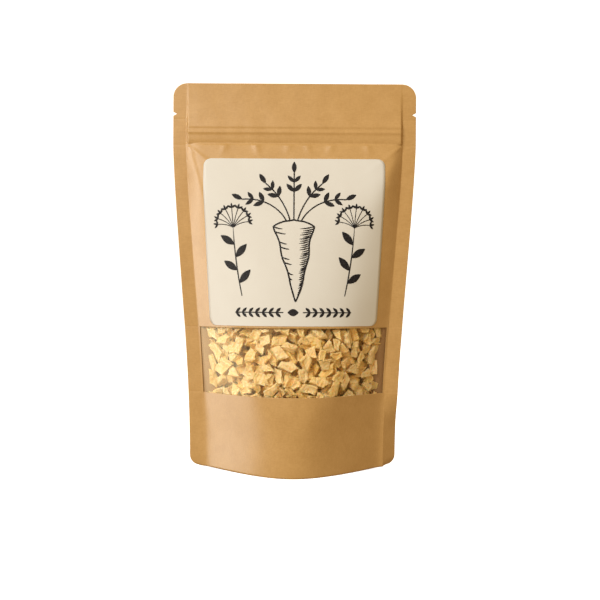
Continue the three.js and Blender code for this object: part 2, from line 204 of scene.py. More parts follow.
@dataclass(frozen=True)
class Graph:
    """Adds nodes to one tree, of a shader or of geometry."""

    tree: bpy.types.NodeTree

    def node(self, kind: str, settings: dict | None = None, **inputs: object) -> bpy.types.Node:
        """Adds a node.

        Args:
            kind: the node's type.
            settings: its properties, by name.
            inputs: its inputs, by name with an underscore for each space.

        Returns:
            The node.
        """
        node = self.tree.nodes.new(kind)
        for name, value in (settings or {}).items():
            setattr(node, name, value)
        for name, value in inputs.items():
            feed(self.tree, self.socket(node, name.replace("_", " ")), value)
        return node

    def socket(self, node: bpy.types.Node, name: str) -> bpy.types.NodeSocket:
        """The input of this name that is in use, where a node has several for different data types."""
        return next(s for s in node.inputs if s.name == name and s.enabled)

    def field(self, kind: str, output: str, settings: dict | None = None, **inputs: object) -> Field:
        """Adds a node and returns the output of this name as a field."""
        node = self.node(kind, settings, **inputs)
        return Field(self.tree, next(s for s in node.outputs if s.name == output and s.enabled))


class FormTree(Graph):
    """A Geometry Nodes tree with named inputs, and the modifier that runs it."""

    def __init__(self, name: str) -> None:
        """Makes an empty tree with geometry in and out."""
        super().__init__(bpy.data.node_groups.new(name, "GeometryNodeTree"))
        self.tree.is_modifier = True
        self.tree.interface.new_socket("Geometry", in_out="INPUT", socket_type="NodeSocketGeometry")
        self.tree.interface.new_socket("Geometry", in_out="OUTPUT", socket_type="NodeSocketGeometry")
        self.node("NodeGroupInput", {"name": "inputs"})
        self.node("NodeGroupOutput", {"name": "outputs"})

    def entry(self, name: str, kind: str = "NodeSocketFloat") -> Field:
        """Adds a named input and returns it."""
        self.tree.interface.new_socket(name, in_out="INPUT", socket_type=kind)
        return Field(self.tree, self.tree.nodes["inputs"].outputs[name])

    def geometry(self) -> bpy.types.NodeSocket:
        """The geometry that comes in."""
        return self.tree.nodes["inputs"].outputs["Geometry"]

    def stored(self, name: str, kind: str) -> Field:
        """A value of this data type that is stored on the points."""
        return self.field("GeometryNodeInputNamedAttribute", "Attribute", {"data_type": kind}, Name=name)

    def end(self, geometry: bpy.types.NodeSocket) -> None:
        """Realizes, gives the material named by the input Material, and sends the result out."""
        material = self.entry("Material", "NodeSocketMaterial")
        real = self.node("GeometryNodeRealizeInstances", Geometry=geometry)
        soft = self.node("GeometryNodeSetShadeSmooth", Geometry=real.outputs["Geometry"])
        dressed = self.node("GeometryNodeSetMaterial", Geometry=soft.outputs["Geometry"], Material=material)
        feed(self.tree, self.tree.nodes["outputs"].inputs["Geometry"], dressed.outputs["Geometry"])

    def run(self, piece: bpy.types.Object, values: dict[str, object]) -> None:
        """Puts the tree on a piece and turns the piece into the plain mesh that comes out.

        Args:
            piece: the object whose mesh goes in.
            values: the inputs, by name.
        """
        modifier = piece.modifiers.new(self.tree.name, "NODES")
        modifier.node_group = self.tree
        sockets = self.tree.interface.items_tree
        named = {item.name: item.identifier for item in sockets if item.in_out == "INPUT"}
        for name, value in values.items():
            modifier[named[name]] = value
        bake(piece)


def bake(piece: bpy.types.Object) -> None:
    """Replaces a piece's mesh by what its modifiers make of it, and removes them."""
    piece.update_tag()
    bpy.context.view_layer.update()
    evaluated = piece.evaluated_get(bpy.context.evaluated_depsgraph_get())
    made = bpy.data.meshes.new_from_object(evaluated)
    piece.modifiers.clear()
    piece.data = made
    made.name = piece.name


def new_piece(name: str, points: np.ndarray, faces: Sequence[Sequence[int]]) -> bpy.types.Object:
    """An object at the origin with this mesh."""
    mesh = bpy.data.meshes.new(name)
    mesh.from_pydata([tuple(map(float, p)) for p in points], [], [tuple(map(int, f)) for f in faces])
    piece = bpy.data.objects.new(name, mesh)
    bpy.context.scene.collection.objects.link(piece)
    return piece


def thicken(piece: bpy.types.Object, thickness: float) -> None:
    """Gives a sheet its thickness, on the side that its faces look away from."""
    modifier = piece.modifiers.new("thickness", "SOLIDIFY")
    modifier.thickness = thickness
    modifier.offset = -1.0
    modifier.use_even_offset = False
    bake(piece)
    piece.data.shade_smooth()


def finish_piece(piece: bpy.types.Object, slot: str, *replaced: str) -> None:
    """Lets a piece ride on the bag and hides the nodes that it stands for."""
    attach(piece, BODY)
    if replaced:
        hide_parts(*replaced)
    LOG.info("%s: %d faces", piece.name, len(piece.data.polygons))


def ramp(start: float, end: float, step: float) -> list[float]:
    """Evenly spaced values from start up to end, without end, at most a step apart."""
    count = max(1, math.ceil((end - start) / step))
    return [start + (end - start) * i / count for i in range(count)]


def graded(stops: Sequence[tuple[float, float]], end: float) -> tuple[float, ...]:
    """Rising values whose step changes on the way.

    Args:
        stops: pairs of a value and the widest step from there on.
        end: the last value.

    Returns:
        The values, from the first stop to the end.
    """
    ends = [start for start, _ in stops[1:]] + [end]
    values = [v for (start, step), stop in zip(stops, ends) for v in ramp(start, stop, step)]
    return (*values, end)


@dataclass(frozen=True)
class BagForm:
    """The rule that the bag's sheets follow. s is a share of the half width between the side seals,
    from -1 to 1, and runs on to -2 and 2 across the seals. z is the height. The drop is the share of
    the way from the zip's foot down to the base."""

    height: Number = 208 * MM
    half_width: Number = 65.7 * MM
    seal_width: Number = 7 * MM
    side_narrowing: Number = 10 * MM
    narrowing_power: Number = 1.3
    belly_depth: Number = 26.5 * MM
    belly_power: Number = 0.92
    flank_slope: Number = 1.0
    base_slope: Number = 0.545
    slope_power: Number = 2.0
    sharp_shoulder: Number = 0.04
    seal_fillet: Number = 0.07
    least_fillet: Number = 0.001
    zip_foot: Number = 175 * MM
    zip_head: Number = 188.3 * MM
    zip_housing: Number = 2.05 * MM
    zip_ridge: Number = 0.5 * MM
    zip_end: Number = 0.026
    zip_lip: Number = 4 * MM
    foot_blend: Number = 1.2 * MM
    header_length: Number = 19.5 * MM
    header_share: Number = 0.6
    header_power: Number = 2.0
    pucker_height: Number = 0.55 * MM
    pucker_start: Number = 1.0 * MM
    pucker_length: Number = 4.6 * MM
    corner_crease: Number = 0.35 * MM
    crease_lean: Number = 1.15
    crease_half_width: Number = 1.6 * MM
    crease_start: Number = 2 * MM
    crease_length: Number = 16 * MM
    seal_step: Number = 0.11 * MM
    step_run: Number = 0.022
    seal_line: Number = 0.07 * MM
    line_half_width: Number = 0.4 * MM
    line_start: Number = 0.04
    seal_turn: Number = 0.7
    base_rise: Number = 1.1 * MM
    rise_power: Number = 3.0
    rise_height: Number = 14 * MM

    def drop(self, z: Number) -> Number:
        """How far z lies below the zip's foot: 0 at the foot and 1 at the base."""
        return clamp01((self.zip_foot - z) / self.zip_foot)

    def inner_x(self, z: Number) -> Number:
        """Half the width between the side seals: filling the bag draws its sides in."""
        drawn = self.side_narrowing * sine(power(self.drop(z), self.narrowing_power) * (math.pi / 2))
        return self.half_width - drawn - self.seal_width

    def swell(self, z: Number) -> Number:
        """How far the filling pushes the sheet's middle out."""
        grown = sine(power(self.drop(z), self.belly_power) * (math.pi / 2))
        return self.zip_housing + (self.belly_depth - self.zip_housing) * grown

    def belly(self, s: Number, z: Number) -> Number:
        """How far the filling pushes the sheet out: a flat front between two sloping flanks, which
        meet it at crisp shoulders near the zip and run together in a round nose at the base. A fillet
        leads each flank into its side seal."""
        across, drop, middle = lesser(size(s), 1.0), self.drop(z), self.swell(z)
        slope = self.flank_slope + (self.base_slope - self.flank_slope) * power(drop, self.slope_power)
        flat = 1.0 - lesser(middle / (slope * self.inner_x(z)), 1.0)
        bend = self.shoulder(drop)

        def reach(at: Number) -> Number:
            """A curve that stays level up to the shoulders and falls in a straight line past them."""
            near, far = at - flat, at + flat
            return power(near * near + bend * bend, 0.5) + power(far * far + bend * bend, 0.5)

        edge = reach(1.0)
        fillet = self.seal_fillet * drop * drop + self.least_fillet
        off = power((1.0 - across) * (1.0 - across) + fillet * fillet, 0.5) - fillet
        whole = power(1.0 + fillet * fillet, 0.5) - fillet
        return middle * (edge - reach(1.0 - off / whole)) / (edge - reach(0.0))

    def shoulder(self, drop: Number) -> Number:
        """How softly the shoulders bend: crisp at the zip, soft halfway down, crisper round the nose and
        soft again at the base."""
        bend = before = self.sharp_shoulder
        for change in SHOULDERS:
            bend = bend + (change.softness - before) * smooth((drop - change.start) / change.run)
            before = change.softness
        return bend

    def zip_relief(self, s: Number, z: Number) -> Number:
        """The housing that the zip makes in the sheet, with its ridge and grooves: it swells down the
        header and ends at the zip's foot."""
        ends = smooth((1.0 - size(s)) / self.zip_end)
        header = power(clamp01((self.height - z) / self.header_length), self.header_power)
        lip = clamp01((self.zip_head - z) / self.zip_lip)
        relief = self.zip_housing * (self.header_share * header + (1.0 - self.header_share) * lip)
        for ridge in ZIP_RIDGES:
            relief = relief + self.zip_ridge * ridge.height * bell((z - ridge.z) / ridge.half_width)
        return relief * ends

    def creases(self, s: Number, z: Number) -> Number:
        """The puckers that hang from the zip's foot, and the crease that runs down and in from each
        of its ends."""
        below = greater(self.zip_foot - z, 0.0)
        x = s * self.inner_x(z)
        fold = 0.0
        for pucker in PUCKERS:
            fold = fold + pucker.height * bell((x - pucker.x - below * pucker.lean) / pucker.half_width)
        hang = smooth(below / self.pucker_start) * bell(below / self.pucker_length)
        inwards = self.inner_x(z) - size(x) - below * self.crease_lean
        fade = smooth(below / self.crease_start) * bell(below / self.crease_length)
        corner = bell(inwards / self.crease_half_width) * fade
        return self.pucker_height * fold * hang + self.corner_crease * corner

    def step(self, s: Number, z: Number) -> Number:
        """The step at the edge of each side seal, where the two sheets part, and the faint lines that
        the layers within leave across the seals."""
        lines = 0.0
        for level in SEAL_LINES:
            lines = lines + bell((z - level) / self.line_half_width)
        on_seal = smooth((size(s) - 1.0) / self.line_start)
        return self.seal_step * smooth((1.0 - size(s)) / self.step_run) - self.seal_line * lines * on_seal

    def depth(self, s: Number, z: Number) -> Number:
        """The sheet's outer face, from the plane of the seals."""
        below = smooth((self.zip_foot - z) / self.foot_blend + 0.5)
        upper, lower = self.zip_relief(s, z), self.belly(s, z) + self.creases(s, z)
        return upper + (lower - upper) * below + self.step(s, z) + SEAL_FACE

    def turn(self, s: Number, z: Number) -> Number:
        """How far the lower ends of the side seals are bent back, the right one more than the left."""
        back = 0.0
        for turn in SEAL_TURNS:
            past = greater(turn.hand * s - 1.0, 0.0)
            back = back + turn.share * past * smooth((turn.top - z) / turn.run)
        return self.seal_turn * self.seal_width * back

    def lift(self, s: Number, z: Number) -> Number:
        """How far the base's edge rises from the floor towards its corners."""
        outwards = power(lesser(size(s), 1.0), self.rise_power)
        return self.base_rise * outwards * smooth(1.0 - z / self.rise_height)

    def edge_x(self, z: np.ndarray) -> np.ndarray:
        """Half the width of the cut bag, with its rounded corners and its tear notches."""
        notch = NOTCH_DEPTH * np.clip(1 - np.abs(z - NOTCH_Z) / NOTCH_HALF_HEIGHT, 0, 1)
        top = corner_cut(TOP_CORNER, self.height - z)
        return self.inner_x(z) + self.seal_width - notch - top - corner_cut(BASE_CORNER, z)

    def share_at(self, run: np.ndarray, z: np.ndarray) -> np.ndarray:
        """The share s that a strip laid along the belly from its middle has reached.

        Args:
            run: the strip's signed length at each point.
            z: the height at each point.

        Returns:
            s at each point.
        """
        steps = np.linspace(0, 1, STRIP_STEPS)
        found = np.empty(np.shape(z))
        for level in np.unique(z):
            across = steps * self.inner_x(level)
            out = self.belly(steps, level)
            length = np.concatenate([[0], np.cumsum(np.hypot(np.diff(across), np.diff(out)))])
            here = z == level
            found[here] = np.sign(run[here]) * np.interp(np.abs(run[here]), length, steps)
        return found


@dataclass(frozen=True)
class Shoulder:
    """A change in how softly the shoulders bend: what it comes to, and where in the drop it starts and
    how much of the drop it takes."""

    softness: float
    start: float
    run: float


@dataclass(frozen=True)
class Ridge:
    """A ridge that the zip presses into the sheet, or a groove where its height is negative."""

    z: float
    half_width: float
    height: float


@dataclass(frozen=True)
class Pucker:
    """A soft fold below the zip's foot: its place, its half width, its lean and its share of the height."""

    x: float
    half_width: float
    lean: float
    height: float


@dataclass(frozen=True)
class SealTurn:
    """The bent lower end of a side seal: its side, its height, how soon it is fully bent and how far."""

    hand: int
    top: float
    run: float
    share: float


SEAL_FACE = 0.24 * MM
PAPER = 0.2 * MM
TOP_CORNER = 7.5 * MM
BASE_CORNER = 6 * MM
NOTCH_Z = 191.4 * MM
NOTCH_DEPTH = 2.1 * MM
NOTCH_HALF_HEIGHT = 1.1 * MM
STRIP_STEPS = 161
SHOULDERS = (
    Shoulder(0.34, start=0.08, run=0.3),
    Shoulder(0.18, start=0.5, run=0.25),
    Shoulder(0.46, start=0.84, run=0.16),
)
ZIP_RIDGES = (
    Ridge(183.1 * MM, 0.6 * MM, -0.3),
    Ridge(181.2 * MM, 0.85 * MM, 0.78),
    Ridge(174.6 * MM, 1.6 * MM, -0.85),
)
SEAL_LINES = (188.6 * MM, 174.6 * MM, 76.4 * MM, 41.2 * MM)
SEAL_TURNS = (SealTurn(1, 42 * MM, 20 * MM, 1.0), SealTurn(-1, 95 * MM, 25 * MM, 0.22))
PUCKERS = (
    Pucker(-37 * MM, 1.6 * MM, -0.3, 0.8),
    Pucker(-21 * MM, 1.5 * MM, 0.25, 1.1),
    Pucker(-3 * MM, 2.0 * MM, -0.2, 0.7),
    Pucker(6.5 * MM, 1.5 * MM, 0.3, 0.8),
    Pucker(20 * MM, 1.7 * MM, -0.25, 1.0),
    Pucker(39 * MM, 1.8 * MM, 0.2, 0.9),
)


def corner_cut(radius: float, distance: np.ndarray) -> np.ndarray:
    """What a quarter circle takes off a side, this far from the end of the sheet."""
    t = radius * (1 - np.clip(distance / radius, 0, 1))
    return radius - np.sqrt(radius * radius - t * t)


@dataclass(frozen=True)
class FlatSheet:
    """A sheet before it is bent: a grid of points with the share s along X and the height along Z."""

    shares: tuple[float, ...]
    levels: tuple[float, ...]

    def mesh(self, name: str, hole: Callable[[float, float], bool] | None = None) -> bpy.types.Object:
        """Makes the sheet, facing -Y.

        Args:
            name: the piece's name.
            hole: tells whether a cell with its middle at this share and height is cut out.

        Returns:
            The piece.
        """
        columns = len(self.shares)
        s, z = np.meshgrid(self.shares, self.levels)
        points = np.stack([s, np.zeros_like(s), z], -1).reshape(-1, 3)
        faces = []
        for i in range(len(self.levels) - 1):
            low, high = self.levels[i:i + 2]
            for j in range(columns - 1):
                left, right = self.shares[j:j + 2]
                if hole is None or not hole((left + right) / 2, (low + high) / 2):
                    corner = i * columns + j
                    faces.append((corner, corner + 1, corner + columns + 1, corner + columns))
        return drop_loose(new_piece(name, points, faces))


def drop_loose(piece: bpy.types.Object) -> bpy.types.Object:
    """Removes the points of a mesh that no face uses."""
    mesh = piece.data
    used = np.zeros(len(mesh.vertices), bool)
    corners = np.empty(len(mesh.loops), int)
    mesh.loops.foreach_get("vertex_index", corners)
    used[corners] = True
    if used.all():
        return piece
    index = np.cumsum(used) - 1
    points = np.array([v.co for v in mesh.vertices])[used]
    faces = [[index[v] for v in p.vertices] for p in mesh.polygons]
    bpy.data.objects.remove(piece)
    return new_piece(mesh.name, points, faces)


class BagSheet(FormTree):
    """The tree that bends a flat sheet to the bag's rule and crumples it slightly. The crumpling is
    calmer on the side seals."""

    crumple_size: float = 15 * MM
    crumple_seed: float = 4.7
    crumple_lean: float = 0.35
    crumple_squeeze: float = 0.6
    sides_apart: float = 3.0
    seal_crumple: float = 0.15
    calming_run: float = 0.1

    def __init__(self, form: BagForm) -> None:
        """Builds the tree, with an input for each size of the rule."""
        super().__init__("bag_sheet")
        self.form = form
        names = {f.name: f.name.replace("_", " ").capitalize() for f in fields(form)}
        rule = BagForm(**{name: self.entry(label) for name, label in names.items()})
        self.sizes = {label: getattr(form, name) for name, label in names.items()}
        side, inset = self.entry("Side"), self.entry("Inset")
        crumple, crumple_size, seed = self.entry("Crumple"), self.entry("Crumple size"), self.entry("Seed")
        place = self.node("GeometryNodeInputPosition").outputs["Position"]
        flat = self.node("ShaderNodeSeparateXYZ", Vector=place)
        s, z = Field(self.tree, flat.outputs["X"]), Field(self.tree, flat.outputs["Z"])
        edge = self.stored("edge_x", "FLOAT")
        inner = rule.inner_x(z)
        past = greater(size(s) - 1.0, 0.0)
        x = sign(s) * (lesser(size(s), 1.0) * inner + past * (edge - inner))
        waves = self.waves(x, z, side, crumple, crumple_size, seed)
        inside = smooth((1.0 - size(s)) / self.calming_run)
        calmed = waves * (self.seal_crumple + (1.0 - self.seal_crumple) * inside)
        y = side * (rule.depth(s, z) - inset + calmed) + rule.turn(s, z)
        bent = self.node("ShaderNodeCombineXYZ", X=x, Y=y, Z=z + rule.lift(s, z)).outputs["Vector"]
        moved = self.node("GeometryNodeSetPosition", Geometry=self.geometry(), Position=bent)
        self.end(moved.outputs["Geometry"])

    def waves(self, x: Field, z: Field, side: Field, height: Field, length: Field, seed: Field) -> Field:
        """A soft random relief that leans a little, as paper that was handled has."""
        leaning, squeezed = (x + z * self.crumple_lean) / length, z * self.crumple_squeeze / length
        at = self.node("ShaderNodeCombineXYZ", X=leaning, Y=side * self.sides_apart, Z=squeezed)
        settings = {"noise_dimensions": "4D"}
        rough = self.field("ShaderNodeTexNoise", "Fac", settings, Vector=at.outputs["Vector"], W=seed,
                           Scale=1.0, Detail=2.0, Roughness=0.45)
        return height * (rough - 0.5)

    def bend(self, piece: bpy.types.Object, side: Side, material: bpy.types.Material, inset: float = 0.0,
             crumple: float = 0.5 * MM) -> None:
        """Bends a flat sheet.

        Args:
            piece: the sheet.
            side: the face of the bag that it follows.
            material: its finish.
            inset: how far it lies inside the bag's outer face.
            crumple: the height of its random relief.
        """
        heights = np.array([v.co.z for v in piece.data.vertices])
        edge = piece.data.attributes.new("edge_x", "FLOAT", "POINT")
        edge.data.foreach_set("value", self.form.edge_x(heights).astype(np.float32))
        self.run(piece, {**self.sizes, "Side": float(side.value), "Inset": inset, "Crumple": crumple,
                         "Crumple size": self.crumple_size, "Seed": self.crumple_seed, "Material": material})
        piece.data.attributes.remove(piece.data.attributes["edge_x"])
        if side is Side.BACK:
            piece.data.flip_normals()


def mirrored(half: Iterable[float]) -> tuple[float, ...]:
    """Values above 0 in rising order, joined by 0 and their mirror images."""
    half = list(half)
    return (*(-v for v in reversed(half)), 0.0, *half)


@dataclass(frozen=True)
class KraftPaper:
    """Kraft paper laminate: a fibrous brown paper with a faint satin skin. Its fibres lie along and
    down the sheet, and its tone drifts in patches."""

    name: str = "kraft_paper"
    pale: Colour = (0.605, 0.38, 0.148)
    deep: Colour = (0.475, 0.278, 0.09)
    roughness: float = 0.4
    gloss: float = 0.45
    fibre: float = 0.45 * MM
    patch: float = 9 * MM
    along_share: float = 0.9
    down_share: float = 0.6
    patch_share: float = 0.8
    relief: float = 0.05 * MM

    def material(self) -> bpy.types.Material:
        """Makes the material."""
        shader = Shader(self.name)
        along = shader.noise(self.fibre, detail=3.0, stretch=(5.0, 1.0, 1.0))
        down = shader.noise(self.fibre * 1.3, detail=2.0, stretch=(1.0, 1.0, 4.0))
        cloud = shader.noise(self.patch, detail=3.0)
        fibres = (along - 0.5) * self.along_share + (down - 0.5) * self.down_share
        colour = shader.mix(clamp01(0.5 + fibres + (cloud - 0.5) * self.patch_share), self.deep, self.pale)
        relief = shader.bump(along * 0.6 + down * 0.4, height=self.relief, strength=0.35)
        return shader.principled(Base_Color=colour, Roughness=self.roughness, Normal=relief,
                                 Specular_IOR_Level=self.gloss)


@dataclass(frozen=True)
class LabelPaper:
    """Uncoated cream label paper."""

    pale: Colour = (0.73, 0.74, 0.70)
    deep: Colour = (0.68, 0.675, 0.635)
    roughness: float = 0.6
    fibre: float = 0.4 * MM
    patch: float = 14 * MM
    fibre_share: float = 0.7
    patch_share: float = 0.8
    relief: float = 0.02 * MM

    def material(self) -> bpy.types.Material:
        """Makes the material."""
        shader = Shader("label_paper")
        fibre = shader.noise(self.fibre, detail=3.0)
        cloud = shader.noise(self.patch, detail=2.0)
        tone = 0.5 + (fibre - 0.5) * self.fibre_share + (cloud - 0.5) * self.patch_share
        colour = shader.mix(clamp01(tone), self.deep, self.pale)
        relief = shader.bump(fibre, height=self.relief, strength=0.2)
        return shader.principled(Base_Color=colour, Roughness=self.roughness, Normal=relief)


@dataclass(frozen=True)
class PrintedInk:
    """Soft black ink, worn a little in patches on the paper's fibres."""

    black: Colour = (0.008, 0.008, 0.011)
    worn: Colour = (0.03, 0.028, 0.028)
    roughness: float = 0.6
    gloss: float = 0.2
    patch: float = 0.7 * MM

    def material(self) -> bpy.types.Material:
        """Makes the material."""
        shader = Shader("printed_ink")
        patch = shader.noise(self.patch, detail=2.0)
        colour = shader.mix(smooth(patch * 3.0 - 1.2), self.black, self.worn)
        return shader.principled(Base_Color=colour, Roughness=self.roughness, Specular_IOR_Level=self.gloss)


@dataclass(frozen=True)
class ClearFilm:
    """Clear film: see-through, with a warm, soft reflection that grows where it is seen at a slant."""

    tint: Colour = (1.0, 0.87, 0.57)
    straight_on: float = 0.025
    slant_power: float = 5.0
    roughness: float = 0.4

    def material(self) -> bpy.types.Material:
        """Makes the material."""
        shader = Shader("clear_film")
        gloss = shader.node("ShaderNodeBsdfGlossy", Color=(*self.tint, 1), Roughness=self.roughness)
        clear = shader.node("ShaderNodeBsdfTransparent", Color=(1, 1, 1, 1))
        slant = shader.field("ShaderNodeLayerWeight", "Facing", None, Blend=0.5)
        mirror = self.straight_on + (1.0 - self.straight_on) * power(slant, self.slant_power)
        whole = shader.node("ShaderNodeMixShader", Fac=mirror)
        feed(shader.tree, whole.inputs[1], clear.outputs["BSDF"])
        feed(shader.tree, whole.inputs[2], gloss.outputs["BSDF"])
        return shader.out(whole.outputs["Shader"])


@dataclass(frozen=True)
class ZipPolythene:
    """Milky polythene with fine lines from its drawing."""

    pale: Colour = (0.84, 0.81, 0.75)
    deep: Colour = (0.74, 0.71, 0.64)
    roughness: float = 0.35
    clearness: float = 0.2
    line: float = 0.3 * MM
    line_length: float = 20.0
    relief: float = 0.03 * MM

    def material(self) -> bpy.types.Material:
        """Makes the material."""
        shader = Shader("zip_polythene")
        lines = shader.noise(self.line, detail=2.0, stretch=(self.line_length, 1.0, 1.0))
        colour = shader.mix(lines, self.deep, self.pale)
        relief = shader.bump(lines, height=self.relief, strength=0.3)
        return shader.principled(Base_Color=colour, Roughness=self.roughness, Normal=relief,
                                 Transmission_Weight=self.clearness)


@dataclass(frozen=True)
class DriedParsnip:
    """Dried parsnip flesh: pale cream on the cut faces, straw and honey brown at random, and painted shade:
    honey brown in each die's hollows and down its sides, straw on dice that lie deeper behind the film.
    """

    cream: Colour = (0.965, 0.75, 0.385)
    straw: Colour = (0.965, 0.6, 0.11)
    honey: Colour = (0.92, 0.43, 0.014)
    roughness: float = 0.42
    gloss: float = 0.8
    grain: float = 1.3 * MM
    wrinkle: float = 0.6 * MM
    crease: float = 3.2 * MM
    crease_sharpness: float = 6.0
    honey_share: float = 0.6
    relief: float = 0.9 * MM
    glow: float = 0.3
    glow_depth: float = 1.5 * MM

    def material(self) -> bpy.types.Material:
        """Makes the material, which reads each die's tone, partly painted shade for depth, and the depth of
        its hollows, which it paints in shade.
        """
        shader = Shader("dried_parsnip")
        tone = shader.attribute("chip_tone")
        hollow = shader.attribute("chip_hollow")
        grain = shader.chip_noise(self.grain, 3.0, tone)
        wrinkle = shader.chip_noise(self.wrinkle, 4.0, tone, stretch=(1.0, 2.6, 1.0))
        from_crease = size(shader.chip_noise(self.crease, 1.0, tone) - 0.5)
        crease = 1.0 - clamp01(from_crease * self.crease_sharpness)
        # tone picks cream or straw: at random, and as painted shade for dice that lie deeper.
        face = shader.mix(clamp01(tone * 0.9 + (grain - 0.5) * 1.1), self.cream, self.straw)
        # Painted shade: honey brown in the hollows and down the sides, stirred by the random grain, wrinkles
        # and creases.
        fold = smooth(hollow * 0.9 + (grain - 0.5) * 1.5 + (wrinkle - 0.5) * 0.8 + crease * 0.1 - 0.4)
        colour = shader.mix(fold * self.honey_share, face, self.honey)
        relief = shader.bump(wrinkle * 0.8 + grain - crease * 0.4, height=self.relief, strength=0.75)
        return shader.principled(Base_Color=colour, Roughness=self.roughness, Normal=relief,
                                 Specular_IOR_Level=self.gloss, Subsurface_Weight=self.glow,
                                 Subsurface_Radius=(1.0, 0.55, 0.3), Subsurface_Scale=self.glow_depth)


@dataclass(frozen=True)
class StudioPaper:
    """The white paper that the pouch stands on, which glows enough to stay white in the shade."""

    white: float = 0.92
    glow: float = 0.9

    def material(self) -> bpy.types.Material:
        """Makes the material."""
        shader = Shader("studio_paper")
        return shader.principled(Base_Color=(self.white, self.white, self.white, 1), Roughness=0.9,
                                 Specular_IOR_Level=0.0, Emission_Color=(1, 1, 1, 1),
                                 Emission_Strength=self.glow)


class Shader(Graph):
    """A material under construction, whose patterns lie in the piece's own coordinates."""

    tone_spread: float = 40.0

    def __init__(self, name: str) -> None:
        """Makes an empty material."""
        made = bpy.data.materials.new(name)
        made.use_nodes = True
        made.node_tree.nodes.clear()
        super().__init__(made.node_tree)
        object.__setattr__(self, "made", made)

    def scaled(self, place: bpy.types.NodeSocket, patch: float, stretch: Sequence[float]) -> Field:
        """Coordinates in which a patch of this size is 1 long, times its stretch along each axis."""
        scale = tuple(1 / (patch * k) for k in stretch)
        return self.field("ShaderNodeMapping", "Vector", None, Vector=place, Scale=scale)

    def noise(self, patch: float, detail: float, stretch: Sequence[float] = (1.0, 1.0, 1.0)) -> Field:
        """A random field from 0 to 1.

        Args:
            patch: the size of its patches.
            detail: how many finer layers it has.
            stretch: how many times longer the patches are along X, Y and Z.

        Returns:
            The field.
        """
        place = self.node("ShaderNodeTexCoord").outputs["Object"]
        return self.field("ShaderNodeTexNoise", "Fac", None, Scale=1.0, Detail=detail,
                          Vector=self.scaled(place, patch, stretch))

    def chip_noise(self, patch: float, detail: float, tone: Field,
                   stretch: Sequence[float] = (1.0, 1.0, 1.0)) -> Field:
        """A random field from 0 to 1 that lies in each die's own place and differs from die to die.

        Args:
            patch: the size of its patches.
            detail: how many finer layers it has.
            tone: the die's tone, random and partly painted shade for depth, which seeds the noise.
            stretch: how many times longer the patches are along the die's own axes.

        Returns:
            The field.
        """
        place = self.node("ShaderNodeAttribute", {"attribute_name": "chip_place"}).outputs["Vector"]
        return self.field("ShaderNodeTexNoise", "Fac", {"noise_dimensions": "4D"}, Scale=1.0, Detail=detail,
                          Vector=self.scaled(place, patch, stretch), W=tone * self.tone_spread)

    def attribute(self, name: str) -> Field:
        """A value stored on the mesh."""
        return self.field("ShaderNodeAttribute", "Fac", {"attribute_name": name})

    def mix(self, share: Field, first: object, second: object) -> bpy.types.NodeSocket:
        """A colour between two, each a triple or a socket."""
        node = self.node("ShaderNodeMix", {"data_type": "RGBA"}, Factor=share)
        for name, value in (("A", first), ("B", second)):
            colour = (*value, 1.0) if isinstance(value, tuple) else value
            feed(self.tree, self.socket(node, name), colour)
        return next(s for s in node.outputs if s.name == "Result" and s.enabled)

    def bump(self, height_map: Field, height: float, strength: float) -> bpy.types.NodeSocket:
        """The normal of a relief whose full height is given."""
        node = self.node("ShaderNodeBump", Height=height_map, Distance=height, Strength=strength)
        return node.outputs["Normal"]

    def principled(self, **inputs: object) -> bpy.types.Material:
        """Ends the material with a Principled shader that has these inputs."""
        return self.out(self.node("ShaderNodeBsdfPrincipled", None, **inputs).outputs["BSDF"])

    def out(self, surface: bpy.types.NodeSocket) -> bpy.types.Material:
        """Ends the material with this surface."""
        self.node("ShaderNodeOutputMaterial", None, Surface=surface)
        return self.made


@dataclass(frozen=True)
class WindowBand:
    """The window cut in the front panel, from one side seal to the other."""

    foot: float = 41 * MM
    head: float = 76.3 * MM
    edge: float = 0.974
    overlap: float = 4 * MM

    def holds(self, s: float, z: float) -> bool:
        """Whether this spot of the front panel is cut out."""
        return abs(s) < self.edge and self.foot < z < self.head


